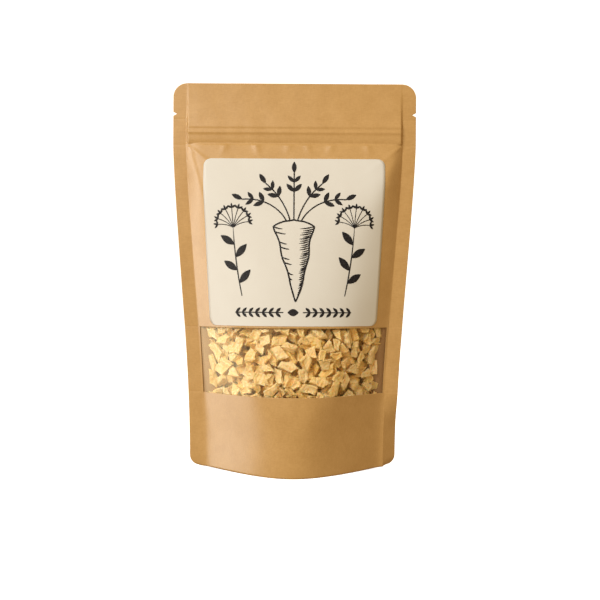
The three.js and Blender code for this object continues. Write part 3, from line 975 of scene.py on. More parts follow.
@dataclass(frozen=True)
class KraftBag:
    """The bag: its front and back panels and the gusset that it stands on."""

    form: BagForm
    window: WindowBand
    belly_step: float = 2.4 * MM
    corner_step: float = 0.9 * MM
    zip_step: float = 0.45 * MM
    notch_step: float = 0.36 * MM
    header_step: float = 1.5 * MM
    top_step: float = 0.2 * MM
    shoulders_from: float = 150 * MM
    puckers_run: float = 5 * MM
    rim: float = 0.9 * MM
    gusset_edge: float = 0.95
    gusset_columns: int = 81
    skirt_rows: int = 9
    span_rows: int = 13
    gusset_gap: float = 0.45 * MM
    weld_middle: float = 5 * MM
    weld_side: float = 31 * MM
    weld_power: float = 2.6
    fold_rise: float = 1.5 * MM
    fold_power: float = 1.8
    rest_share: float = 0.3
    rest_across: float = 0.28

    def levels(self) -> tuple[float, ...]:
        """The heights of a panel's rows, closer together at the corners, the zip and the notches."""
        form, window, belly = self.form, self.window, self.belly_step
        low_rim, high_rim = window.foot + self.rim, window.head + self.rim
        return graded([
            (0.0, self.corner_step), (BASE_CORNER, belly), (window.foot - self.rim, self.rim / 3),
            (low_rim, belly), (window.head - self.rim, self.rim / 3), (high_rim, belly),
            (self.shoulders_from, self.corner_step), (form.zip_foot - self.puckers_run, self.zip_step),
            (form.zip_head, self.notch_step), (NOTCH_Z + NOTCH_HALF_HEIGHT, self.header_step),
            (form.height - TOP_CORNER, 0.8 * MM), (form.height - 0.8 * MM, self.top_step),
        ], form.height)

    def shares(self) -> tuple[float, ...]:
        """The shares of a panel's columns, closer together at the edge of each side seal. A step of 1
        stands for a single column."""
        return mirrored(graded([
            (0.022, 0.022), (0.66, 0.012), (0.94, 0.006), (self.window.edge, 0.004), (1.0, 0.04),
            (1.12, 0.13), (1.9, 1.0), (1.96, 1.0),
        ], 2.0))

    def make(self, sheet: BagSheet, kraft: bpy.types.Material) -> None:
        """Makes the two panels and the gusset."""
        flat = FlatSheet(self.shares(), self.levels())
        front = flat.mesh("kraft_front_panel", self.window.holds)
        sheet.bend(front, Side.FRONT, kraft)
        thicken(front, PAPER)
        finish_piece(front, "kraft", "front_panel")
        back = flat.mesh("kraft_back_panel")
        sheet.bend(back, Side.BACK, kraft)
        thicken(back, PAPER)
        finish_piece(back, "kraft", "back_panel")
        gusset = self.gusset()
        gusset.data.materials.append(kraft)
        thicken(gusset, PAPER)
        finish_piece(gusset, "kraft", "bottom_gusset")

    def outward(self, x: np.ndarray) -> np.ndarray:
        """How far x lies from the middle: 0 there and 1 at the gusset's ends."""
        return np.clip(np.abs(x) / (self.gusset_edge * self.form.inner_x(0.0)), 0, 1)

    def weld_z(self, x: np.ndarray) -> np.ndarray:
        """The height of the weld between the gusset and a panel."""
        return self.weld_middle + (self.weld_side - self.weld_middle) * self.outward(x) ** self.weld_power

    def gusset_z(self, x: np.ndarray, across: np.ndarray) -> np.ndarray:
        """The height of the gusset's underside, flat on the ground in the middle. across runs from
        -1 to 1 between the two welds."""
        away = np.clip((self.outward(x) - self.rest_share) / (1 - self.rest_share), 0, 1)
        fold = (self.weld_side + self.fold_rise) * away**2
        rise = np.clip((np.abs(across) - self.rest_across) / (1 - self.rest_across), 0, 1)
        return fold + (self.weld_z(x) - fold) * rise**self.fold_power

    def gusset(self) -> bpy.types.Object:
        """The gusset: up inside the front panel to the weld, across to the back panel and down."""
        form = self.form
        stations = self.gusset_edge * form.inner_x(0.0) * np.linspace(-1, 1, self.gusset_columns)
        skirt, span = np.linspace(0, 1, self.skirt_rows), np.linspace(1, 0, self.span_rows)[1:]
        inset = 2 * PAPER + self.gusset_gap
        rows = []

        def wall(z: np.ndarray) -> np.ndarray:
            """The depth of the gusset beside a panel."""
            return form.belly(stations / form.inner_x(z), z) + SEAL_FACE - inset

        top = self.weld_z(stations)
        for up in skirt:
            level = up * top
            foot = level + form.lift(stations / form.inner_x(level), level)
            rows.append(np.stack([stations, -wall(level), foot], -1))
        for across in span:
            rows.append(np.stack([stations, -across * wall(top), self.gusset_z(stations, across)], -1))
        mirror = np.array([1, -1, 1])
        rows += [row * mirror for row in reversed(rows[:-1])]
        count = len(stations)
        faces = [(i * count + j, i * count + j + 1, (i + 1) * count + j + 1, (i + 1) * count + j)
                 for i in range(len(rows) - 1) for j in range(count - 1)]
        return new_piece("kraft_bottom_gusset", np.concatenate(rows), faces)


@dataclass(frozen=True)
class WindowFilm:
    """The clear film welded behind the window, and the kraft margins that show through it."""

    window: WindowBand
    thickness: float = 0.08 * MM
    inset: float = 0.34 * MM
    edge: float = 0.993
    step: float = 2 * MM
    margin_from: float = 0.8
    margin_to: float = 0.99
    margin_inset: float = 0.1 * MM
    margin_rows: int = 21

    def make(self, sheet: BagSheet, film: bpy.types.Material) -> None:
        """Makes the film."""
        window = self.window
        shares = mirrored(graded([(0.03, 0.03), (0.9, 0.012)], self.edge))
        foot, head = window.foot - window.overlap, window.head + window.overlap
        flat = FlatSheet(shares, graded([(foot, self.step)], head))
        piece = flat.mesh("window_film_sheet")
        sheet.bend(piece, Side.FRONT, film, inset=self.inset)
        thicken(piece, self.thickness)
        finish_piece(piece, "clear_film", "window_film")

    def make_margins(self, form: BagForm, kraft: bpy.types.Material) -> None:
        """Makes the kraft margins that show through the film beside the dice: the sheet behind runs straight
        in from each side seal. The kraft given for them is darker, painted shade for the narrow space behind
        the film."""
        window = self.window
        shares = (self.margin_from, (self.margin_from + window.edge) / 2, self.margin_to)
        foot, head = window.foot - window.overlap, window.head + window.overlap
        levels = np.linspace(foot, head, self.margin_rows)
        points, faces = [], []
        for hand in (-1, 1):
            for z in levels:
                depth = form.depth(window.edge, z) - self.inset - self.margin_inset
                points += [(hand * share * form.inner_x(z), -depth, z) for share in shares]
            start = len(points) - 3 * len(levels)
            for i in range(len(levels) - 1):
                for j in range(2):
                    corner = start + 3 * i + j
                    face = (corner, corner + 1, corner + 4, corner + 3)
                    faces.append(face if hand > 0 else face[::-1])
        piece = new_piece("kraft_window_margins", np.array(points), faces)
        piece.data.materials.append(kraft)
        thicken(piece, self.thickness)
        finish_piece(piece, "kraft")


class Pen(Enum):
    """How a stroke's width runs along it."""

    EVEN = "even"
    TAPERED = "tapered"
    LEAF = "leaf"

    def share(self, t: np.ndarray) -> np.ndarray:
        """The share of the full width at a share of the length."""
        if self is Pen.EVEN:
            return np.ones_like(t)
        if self is Pen.LEAF:
            return np.sin(math.pi * np.clip(t, 0.02, 0.98)) ** 0.8
        return 0.25 + 0.75 * np.sin(math.pi * (0.15 + 0.85 * t)) ** 0.6


@dataclass(frozen=True)
class Stroke:
    """A printed stroke: its path across and up the flat label, its full width and its pen."""

    path: np.ndarray
    width: float
    pen: Pen = Pen.EVEN


def leaflet(foot: np.ndarray, heading: float, length: float) -> Stroke:
    """A pointed leaflet that stands on a foot and points at a heading, clockwise from upright."""
    run = np.linspace(0, length, 9)[:, None] * (math.sin(heading), math.cos(heading))
    return Stroke(foot + run, 0.42 * length, Pen.LEAF)


@dataclass(frozen=True)
class RootDrawing:
    """The printed root, with a fan of leaves on its crown."""

    top: float = 133 * MM
    length: float = 43 * MM
    half_width: float = 11 * MM
    crown: float = 0.08
    taper: float = 0.85
    waviness: float = 0.06
    drift: float = 2.2 * MM
    points: int = 49
    outline: float = 0.85 * MM
    rings: int = 12
    ring_pen: float = 0.7 * MM
    ring_sag: float = 1.2 * MM
    hatches: int = 34
    hatch_pen: float = 0.75 * MM
    leans: tuple[int, ...] = (-64, -33, 0, 33, 64)
    stalk_spacing: float = 2 * MM
    stalk_lengths: tuple[float, float] = (26 * MM, 24 * MM)
    stalk_pen: float = 0.7 * MM
    paired_at: tuple[int, ...] = (9, 12)
    spread: float = 0.75
    tip_leaflet: float = 6.2 * MM

    def strokes(self) -> list[Stroke]:
        """The root's outline, which narrows to a long tip, its growth rings, its hatched side and its
        leaves."""
        t = np.linspace(0, 1, self.points)
        reach = self.half_width * np.sqrt(np.minimum(1, t / self.crown)) * (1 - t) ** self.taper
        reach = reach * (1 + self.waviness * np.sin(17 * t))
        middle = self.drift * np.sin(2.6 * t) * t
        down = self.top - self.length * t
        left, right = np.column_stack([middle - reach, down]), np.column_stack([middle + reach, down])
        outline = Stroke(np.concatenate([left, right[::-1]]), self.outline)
        return [outline, *self.ring_strokes(middle, reach, down), *self.hatch_strokes(middle, reach, down),
                *self.leaf_strokes()]

    def ring_strokes(self, middle: np.ndarray, reach: np.ndarray, down: np.ndarray) -> list[Stroke]:
        """Growth rings that run in from either side, two from the left to each one from the right."""
        strokes = []
        u = np.linspace(0, 1, 8)
        for k in range(self.rings):
            at = 4 + 3 * k
            side, span = (-1, -1, 1)[k % 3], 0.45 + 0.3 * ((k * 7) % 5) / 5
            across = middle[at] + side * reach[at] * (1 - span * u)
            ring = np.column_stack([across, down[at] - self.ring_sag * np.sin(math.pi * u / 2)])
            strokes.append(Stroke(ring, self.ring_pen, Pen.TAPERED))
        return strokes

    def hatch_strokes(self, middle: np.ndarray, reach: np.ndarray, down: np.ndarray) -> list[Stroke]:
        """Short hatches of uneven length down the root's right side."""
        strokes = []
        for k in range(self.hatches):
            at = 4 + 1.25 * k
            x, half, z = (np.interp(at, np.arange(self.points), row) for row in (middle, reach, down))
            inner = 0.30 + 0.22 * ((k * 5) % 7) / 7
            ends = np.array([[x + half * 0.97, z], [x + half * (0.97 + inner) / 2, z - 0.8 * MM],
                             [x + half * inner, z - 1.1 * MM]])
            strokes.append(Stroke(ends, self.hatch_pen, Pen.TAPERED))
        return strokes

    def leaf_strokes(self) -> list[Stroke]:
        """Leaf stalks that fan out of the crown, each with pairs of pointed leaflets."""
        strokes = []
        for k, lean in enumerate(self.leans):
            length = self.stalk_lengths[k % 2]
            t = np.linspace(0, 1, 16)
            turn = np.radians(lean * (0.45 + 0.55 * t))
            foot = (k - len(self.leans) // 2) * self.stalk_spacing
            stalk = np.column_stack([foot + length * t * np.sin(turn),
                                     self.top - 0.3 * MM + length * t * np.cos(turn)])
            strokes.append(Stroke(stalk, self.stalk_pen))
            for i in self.paired_at:
                run = stalk[i] - stalk[i - 1]
                heading = math.atan2(run[0], run[1])
                for hand in (-1, 1):
                    strokes.append(leaflet(stalk[i], heading + hand * self.spread, (8.6 - 0.3 * i) * MM))
            strokes.append(leaflet(stalk[-1], math.radians(lean), self.tip_leaflet))
        return strokes


@dataclass(frozen=True)
class FlowerDrawing:
    """A printed flower head of fine rays on a leafy stalk, on one side of the root."""

    hand: int
    foot: float = 93 * MM
    stalk_height: float = 36 * MM
    stalk_pen: float = 0.7 * MM
    rays: int = 9
    ray_length: float = 10.5 * MM
    ray_pen: float = 0.42 * MM
    ray_tip: float = 2.7 * MM
    first_ray: float = -74
    ray_turn: float = 18.5
    lean: float = 5
    tip_spread: tuple[int, ...] = (-55, 0, 55)
    leaves: tuple[tuple[int, int], ...] = ((3, 1), (6, -1), (9, 1), (12, -1))
    leaf: float = 9 * MM

    def strokes(self) -> list[Stroke]:
        """The stalk, the rays with three small tips each, and the stalk's leaves."""
        hand = self.hand
        t = np.linspace(0, 1, 17)
        stalk = np.column_stack([hand * (27 + 8 * t - 3 * t * t) * MM, self.foot + self.stalk_height * t])
        strokes = [Stroke(stalk, self.stalk_pen, Pen.TAPERED)]
        u = np.linspace(0, 1, 7)[:, None]
        for k in range(self.rays):
            turn = math.radians(self.first_ray + self.ray_turn * k + hand * self.lean)
            reach = self.ray_length - 0.12 * MM * (k - self.rays // 2) ** 2
            bent = turn * (0.75 + 0.25 * u)
            ray = stalk[-1] + reach * u * np.concatenate([np.sin(bent), np.cos(bent)], 1)
            strokes.append(Stroke(ray, self.ray_pen))
            strokes += [leaflet(ray[-1], turn + math.radians(a), self.ray_tip) for a in self.tip_spread]
        for i, side in self.leaves:
            strokes.append(leaflet(stalk[i], hand * 0.15 + side * 0.85, self.leaf))
        return strokes


@dataclass(frozen=True)
class LeafRule:
    """A printed row of leaflets, pair by pair, that points from both sides to a lozenge."""

    z: float = 84.5 * MM
    lozenge_half_length: float = 2.8 * MM
    lozenge_width: float = 3.8 * MM
    start: float = 5 * MM
    pen: float = 0.55 * MM
    pairs: int = 7
    first_pair: float = 9 * MM
    pitch: float = 3.6 * MM
    spread: float = 0.75

    def strokes(self) -> list[Stroke]:
        """The lozenge, the two stems and their leaflets."""
        u = np.linspace(-self.lozenge_half_length, self.lozenge_half_length, 13)
        strokes = [Stroke(np.column_stack([u, np.full(13, self.z)]), self.lozenge_width, Pen.LEAF)]
        for hand in (-1, 1):
            stem = [(hand * (self.start + 2 * i * MM), self.z) for i in range(2 * self.pairs)]
            strokes.append(Stroke(np.array(stem), self.pen))
            for i in range(self.pairs):
                foot = np.array([hand * (self.first_pair + self.pitch * i), self.z])
                for side in (-1, 1):
                    heading = -hand * (math.pi / 2 + side * self.spread)
                    strokes.append(leaflet(foot, heading, self.pitch))
        return strokes


@dataclass(frozen=True)
class Label:
    """The paper label and what is printed on it: a root between two flower heads, over a row of
    leaflets."""

    form: BagForm
    width: float = 97 * MM
    foot: float = 77.4 * MM
    head: float = 166.6 * MM
    corner: float = 4 * MM
    corner_rows: int = 6
    half_columns: int = 30
    thickness: float = 0.12 * MM
    lift: float = 0.05 * MM
    step: float = 1.6 * MM
    ink_lift: float = 0.09 * MM
    ink_step: float = 0.5 * MM

    def make(self, sheet: BagSheet, paper: bpy.types.Material, ink: bpy.types.Material) -> None:
        """Makes the label and its print."""
        piece = self.paper()
        sheet.bend(piece, Side.FRONT, paper, inset=-self.lift - self.thickness)
        thicken(piece, self.thickness)
        finish_piece(piece, "label_paper", "label")
        lines = self.print(ink)
        sheet.bend(lines, Side.FRONT, ink, inset=-self.lift - self.thickness - self.ink_lift)
        finish_piece(lines, "label_paper")

    def paper(self) -> bpy.types.Object:
        """The flat label with its rounded corners."""
        rows, columns = self.corner_rows, self.half_columns
        ends = [self.corner * (1 - math.cos(math.pi / 2 * k / rows)) for k in range(rows)]
        levels = [self.foot + d for d in ends]
        levels += graded([(self.foot + self.corner, self.step)], self.head - self.corner)
        levels += [self.head - d for d in reversed(ends)]
        shares = mirrored([k / columns for k in range(1, columns + 1)])
        piece = FlatSheet(shares, tuple(levels)).mesh("label_sheet")
        flat = np.array([v.co for v in piece.data.vertices])
        z = flat[:, 2]
        cut = corner_cut(self.corner, z - self.foot) + corner_cut(self.corner, self.head - z)
        flat[:, 0] = self.form.share_at(flat[:, 0] * (self.width / 2 - cut), z)
        piece.data.vertices.foreach_set("co", flat.astype(np.float32).ravel())
        return piece

    def print(self, ink: bpy.types.Material) -> bpy.types.Object:
        """The printed strokes, as ribbons along their paths, still flat."""
        points, widths, edges = [], [], []
        for drawing in (RootDrawing(), FlowerDrawing(-1), FlowerDrawing(1), LeafRule()):
            for stroke in drawing.strokes():
                start = len(points)
                points += [(x, z, 0.0) for x, z in stroke.path]
                widths += (stroke.width * stroke.pen.share(np.linspace(0, 1, len(stroke.path)))).tolist()
                edges += [(k, k + 1) for k in range(start, len(points) - 1)]
        mesh = bpy.data.meshes.new("label_print")
        mesh.from_pydata(points, edges, [])
        mesh.attributes.new("pen_width", "FLOAT", "POINT").data.foreach_set("value", widths)
        piece = bpy.data.objects.new("label_print", mesh)
        bpy.context.scene.collection.objects.link(piece)
        InkLines().run(piece, {"Step": self.ink_step, "Material": ink})
        flat = np.array([v.co for v in piece.data.vertices])
        flat = np.stack([self.form.share_at(flat[:, 0], flat[:, 1]), np.zeros(len(flat)), flat[:, 1]], -1)
        piece.data.vertices.foreach_set("co", flat.astype(np.float32).ravel())
        return piece


class InkLines(FormTree):
    """The tree that turns paths into flat ribbons of the width stored along them."""

    def __init__(self) -> None:
        """Builds the tree."""
        super().__init__("ink_lines")
        step = self.entry("Step")
        paths = self.node("GeometryNodeMeshToCurve", Mesh=self.geometry())
        even = self.node("GeometryNodeResampleCurve", {"mode": "LENGTH"}, Length=step,
                         Curve=paths.outputs["Curve"])
        flat = self.node("GeometryNodeSetCurveNormal", {"mode": "Z_UP"}, Curve=even.outputs["Curve"])
        low = self.node("ShaderNodeCombineXYZ", X=-0.5).outputs["Vector"]
        high = self.node("ShaderNodeCombineXYZ", X=0.5).outputs["Vector"]
        profile = self.node("GeometryNodeCurvePrimitiveLine", None, Start=low, End=high)
        ribbon = self.node("GeometryNodeCurveToMesh", Curve=flat.outputs["Curve"],
                           Profile_Curve=profile.outputs["Curve"], Scale=self.stored("pen_width", "FLOAT"))
        self.end(ribbon.outputs["Mesh"])


@dataclass(frozen=True)
class PressToCloseZip:
    """The two strips of the zip, whose CAD solids are shown as they are."""

    nodes: tuple[str, ...] = ("zip_rib_strip", "zip_groove_strip")

    def dress(self, polythene: bpy.types.Material) -> None:
        """Gives both strips their finish."""
        for name in self.nodes:
            strip = frame["nodes"][name]
            strip.data.materials.clear()
            strip.data.materials.append(polythene)
            LOG.info("%s: kept from the frame", name)


@dataclass(frozen=True)
class ChipCut:
    """The size of a dried die and how far its form strays from a squared block. Pairs are the ends of
    the range that each die's own share is drawn from."""

    across: float = 12.4 * MM
    scale: Range = (0.68, 1.1)
    corner_counts: tuple[int, ...] = (4, 4, 4, 5, 5, 6)
    corner_drift: float = 0.28
    corner_reach: Range = (0.74, 1.12)
    slimness: Range = (0.42, 1.0)
    hollow_sides: float = 0.07
    side_scale: Range = (-0.7, 1.6)
    thickness: float = 3.0 * MM
    thickness_scale: Range = (0.55, 1.2)
    sunk: float = 0.5
    sunk_scale: Range = (0.4, 1.3)
    middle_drift: float = 0.12
    rim: float = 0.84
    rim_drop: float = 0.8
    waist: Range = (0.9, 0.97)
    # How much painted shade the middle of the die's sides gets, as if it lay in a hollow.
    waist_hollow: float = 0.45
    curl: float = 1.7 * MM
    fold: float = 1.6 * MM
    fold_drift: float = 0.4
    cross_fold: float = 0.8
    wedge: float = 0.45
    warp: float = 0.8 * MM
    warp_length: float = 4.2 * MM
    fine_warp: float = 0.35
    fine_warp_length: float = 1.7 * MM
    steps_a_side: int = 3
    rings: tuple[float, ...] = (0.46, 0.84, 1.0)
    sharp_from: float = math.radians(38)


@dataclass(frozen=True)
class Chip:
    """The form of one die: its points, its faces and how much painted shade each point gets: the depth of its
    hollow, and part of it on the die's sides.
    """

    points: np.ndarray
    faces: list[tuple[int, ...]]
    hollow: np.ndarray

    def link(self, name: str, shapes: bpy.types.Collection, sharp_from: float) -> None:
        """Adds the die to a collection, with each point's place in the die stored on it."""
        mesh = bpy.data.meshes.new(name)
        mesh.from_pydata(self.points.tolist(), [], self.faces)
        mesh.attributes.new("chip_hollow", "FLOAT", "POINT").data.foreach_set(
            "value", self.hollow.astype(np.float32))
        mesh.attributes.new("chip_place", "FLOAT_VECTOR", "POINT").data.foreach_set(
            "vector", self.points.astype(np.float32).ravel())
        mesh.shade_smooth()
        mesh.set_sharp_from_angle(angle=sharp_from)
        shapes.objects.link(bpy.data.objects.new(name, mesh))

    def samples(self, count: int, rng: np.random.Generator) -> np.ndarray:
        """Points spread over the die's surface."""
        corners = [(f[0], f[k], f[k + 1]) for f in self.faces for k in range(1, len(f) - 1)]
        a, b, c = (self.points[[t[k] for t in corners]] for k in range(3))
        area = np.linalg.norm(np.cross(b - a, c - a), axis=1)
        pick = rng.choice(len(corners), count, p=area / area.sum())
        u, v = rng.random((2, count, 1))
        turned = u + v > 1
        u, v = np.where(turned, 1 - u, u), np.where(turned, 1 - v, v)
        return a[pick] + u * (b - a)[pick] + v * (c - a)[pick]


class ChipMaker:
    """Makes dice as they dry: uneven, drawn in between their corners, sunk between raised rims,
    curled and folded."""

    def __init__(self, cut: ChipCut, rng: np.random.Generator) -> None:
        """Keeps the size and the source of the dice's forms."""
        self.cut = cut
        self.rng = rng

    def outline(self) -> np.ndarray:
        """The die's outline, with four to six corners, as an array of x and y."""
        cut, rng = self.cut, self.rng
        corners = int(rng.choice(cut.corner_counts))
        drift = rng.uniform(-cut.corner_drift, cut.corner_drift, corners)
        turn = (np.arange(corners) + drift) * 2 * math.pi / corners
        reach = rng.uniform(*cut.corner_reach, corners) * cut.across / 2 * rng.uniform(*cut.scale)
        slim = rng.uniform(*cut.slimness)
        spots = np.stack([reach * np.cos(turn), reach * np.sin(turn) * slim], -1)
        rows = []
        for k in range(corners):
            a, b = spots[k], spots[(k + 1) % corners]
            drawn = cut.hollow_sides * rng.uniform(*cut.side_scale)
            for i in range(cut.steps_a_side):
                t = i / cut.steps_a_side
                rows.append((a + (b - a) * t) * (1 - drawn * math.sin(math.pi * t)))
        return np.array(rows)

    def make(self) -> Chip:
        """Makes one die."""
        cut, rng = self.cut, self.rng
        edge = self.outline()
        count = len(edge)
        thickness = cut.thickness * rng.uniform(*cut.thickness_scale)
        points, hollow = [], []
        for face in (1, -1):
            sunk = cut.sunk * rng.uniform(*cut.sunk_scale)
            middle = rng.uniform(-cut.middle_drift, cut.middle_drift, 2) * cut.across
            points.append([(*middle, face * thickness / 2 * (1 - sunk))])
            hollow.append([1.0])
            for ring in cut.rings:
                level = cut.rim_drop if ring == 1.0 else 1 - sunk * (1 - (ring / cut.rim) ** 3)
                height = thickness / 2 * level
                flat = edge * ring + middle * (1 - ring)
                points.append(np.column_stack([flat, np.full(count, face * height)]))
                hollow.append(np.full(count, max(0.0, 1 - ring / cut.rim)))
        points.append(np.column_stack([edge * rng.uniform(*cut.waist), np.zeros(count)]))
        # The waist round the die's sides gets part of the hollows' painted shade.
        hollow.append(np.full(count, cut.waist_hollow))
        points = self.warped(np.concatenate(points))
        return Chip(points, self.faces(count), np.concatenate(hollow))

    def warped(self, p: np.ndarray) -> np.ndarray:
        """Curls the die, folds it along a line and roughens it."""
        cut, rng = self.cut, self.rng
        u, v = p[:, 0] / (cut.across / 2), p[:, 1] / (cut.across / 2)
        bend = rng.uniform(-1, 1, 3) * cut.curl
        lift = bend[0] * u * u + bend[1] * u * v + bend[2] * v * v
        turn, off = rng.uniform(0, math.pi), rng.uniform(-cut.fold_drift, cut.fold_drift)
        lift += rng.uniform(-1, 1) * cut.fold * np.abs(u * math.cos(turn) + v * math.sin(turn) - off)
        turn += math.pi / 2 + rng.uniform(-0.5, 0.5)
        crossed = np.abs(u * math.cos(turn) + v * math.sin(turn) + off)
        lift += rng.uniform(-cut.cross_fold, cut.cross_fold) * cut.fold * crossed
        wedge = 1 + cut.wedge * (rng.uniform(-1, 1) * u + rng.uniform(-1, 1) * v)
        made = np.column_stack([p[:, 0], p[:, 1], p[:, 2] * wedge + lift])
        shift = Vector(rng.uniform(0, 90, 3))
        for k, spot in enumerate(made):
            broad = noise.noise_vector(Vector(spot) / cut.warp_length + shift)
            fine = noise.noise_vector(Vector(spot) / cut.fine_warp_length + shift)
            made[k] = spot + cut.warp * np.array(broad) + cut.fine_warp * cut.warp * np.array(fine)
        return made - made.mean(0)

    def faces(self, count: int) -> list[tuple[int, ...]]:
        """The die's faces, for an outline of this many points."""
        rings = len(self.cut.rings)
        side = 1 + rings * count
        waist = 2 * side
        faces = []
        for k in range(count):
            n = (k + 1) % count
            for start, up in ((0, True), (side, False)):
                ring = [start + 1 + r * count for r in range(rings)]
                patch = [(start, ring[0] + k, ring[0] + n)]
                patch += [(a + k, b + k, b + n, a + n) for a, b in zip(ring, ring[1:])]
                faces += patch if up else [f[::-1] for f in patch]
            top, low = 1 + (rings - 1) * count, side + 1 + (rings - 1) * count
            faces.append((top + k, waist + k, waist + n, top + n))
            faces.append((waist + k, low + k, low + n, waist + n))
        return faces


@dataclass(frozen=True)
class Placed:
    """Where a die lies: its middle, its turn, its form and its tone."""

    spot: tuple[float, float, float]
    turn: tuple[float, float, float]
    form: int
    tone: float


class WindowBed:
    """Lays dice against the window's film one after another, each as near to it as those laid
    before allow, and keeps a relief of what is laid. settling is the percentile of a die's cells that
    come no nearer to the film than the dice laid before."""

    cell: float = 0.6 * MM
    half_span: float = 56 * MM
    margin: float = 6 * MM
    settling: int = 86
    gap_weight: float = 0.35

    def __init__(self, form: BagForm, window: WindowBand, side_limit: float, film_gap: float) -> None:
        """Starts with the bare film."""
        self.start = np.array([-self.half_span, window.foot - self.margin])
        x = np.arange(self.start[0], -self.start[0], self.cell)
        z = np.arange(self.start[1], window.head + self.margin, self.cell)
        grid_x, grid_z = np.meshgrid(x, z, indexing="ij")
        s = grid_x / form.inner_x(grid_z)
        room = form.belly(np.clip(s, -1, 1), grid_z) + SEAL_FACE - film_gap
        self.open = np.abs(s) < side_limit
        self.film = -room
        self.back = room
        self.laid = self.film.copy()
        slope_x, slope_z = np.gradient(self.film, self.cell)
        self.slope = np.stack([slope_x, slope_z], -1)

    def cell_of(self, x: np.ndarray, z: np.ndarray) -> tuple[np.ndarray, np.ndarray]:
        """The cells that these spots fall in."""
        i = np.floor((x - self.start[0]) / self.cell).astype(int)
        j = np.floor((z - self.start[1]) / self.cell).astype(int)
        return np.clip(i, 0, self.film.shape[0] - 1), np.clip(j, 0, self.film.shape[1] - 1)

    def emptiest(self, rng: np.random.Generator, tries: int) -> np.ndarray:
        """Of some spots drawn at random, the one least filled."""
        inside = np.argwhere(self.open)
        drawn = inside[rng.integers(0, len(inside), tries)]
        filled = (self.laid - self.film)[drawn[:, 0], drawn[:, 1]]
        return self.start + drawn[np.argmin(filled)] * self.cell

    def fit(self, samples: np.ndarray, x: float, z: float) -> tuple[float, float, tuple] | None:
        """Pushes a turned die towards the film.

        Args:
            samples: points of its surface, about its middle.
            x: where its middle lies across.
            z: where its middle lies in height.

        Returns:
            How well it fits, less being better, the y of its middle, and the cells that it covers with
            its rear side there; or None where it doesn't fit.
        """
        i, j = self.cell_of(samples[:, 0] + x, samples[:, 2] + z)
        if not self.open[i, j].all():
            return None
        key = i * self.film.shape[1] + j
        order = np.argsort(key, kind="stable")
        cells, first = np.unique(key[order], return_index=True)
        y = samples[order, 1]
        near, far = np.minimum.reduceat(y, first), np.maximum.reduceat(y, first)
        at = np.unravel_index(cells, self.film.shape)
        on_film = float((self.film[at] - near).max())
        on_dice = float(np.percentile(self.laid[at] - near, self.settling))
        middle = max(on_film, on_dice)
        if (far + middle > self.back[at]).any():
            return None
        gap = float((near + middle - self.laid[at]).mean())
        depth = float((near + middle - self.film[at]).mean())
        return depth + self.gap_weight * gap, middle, (at, far + middle)


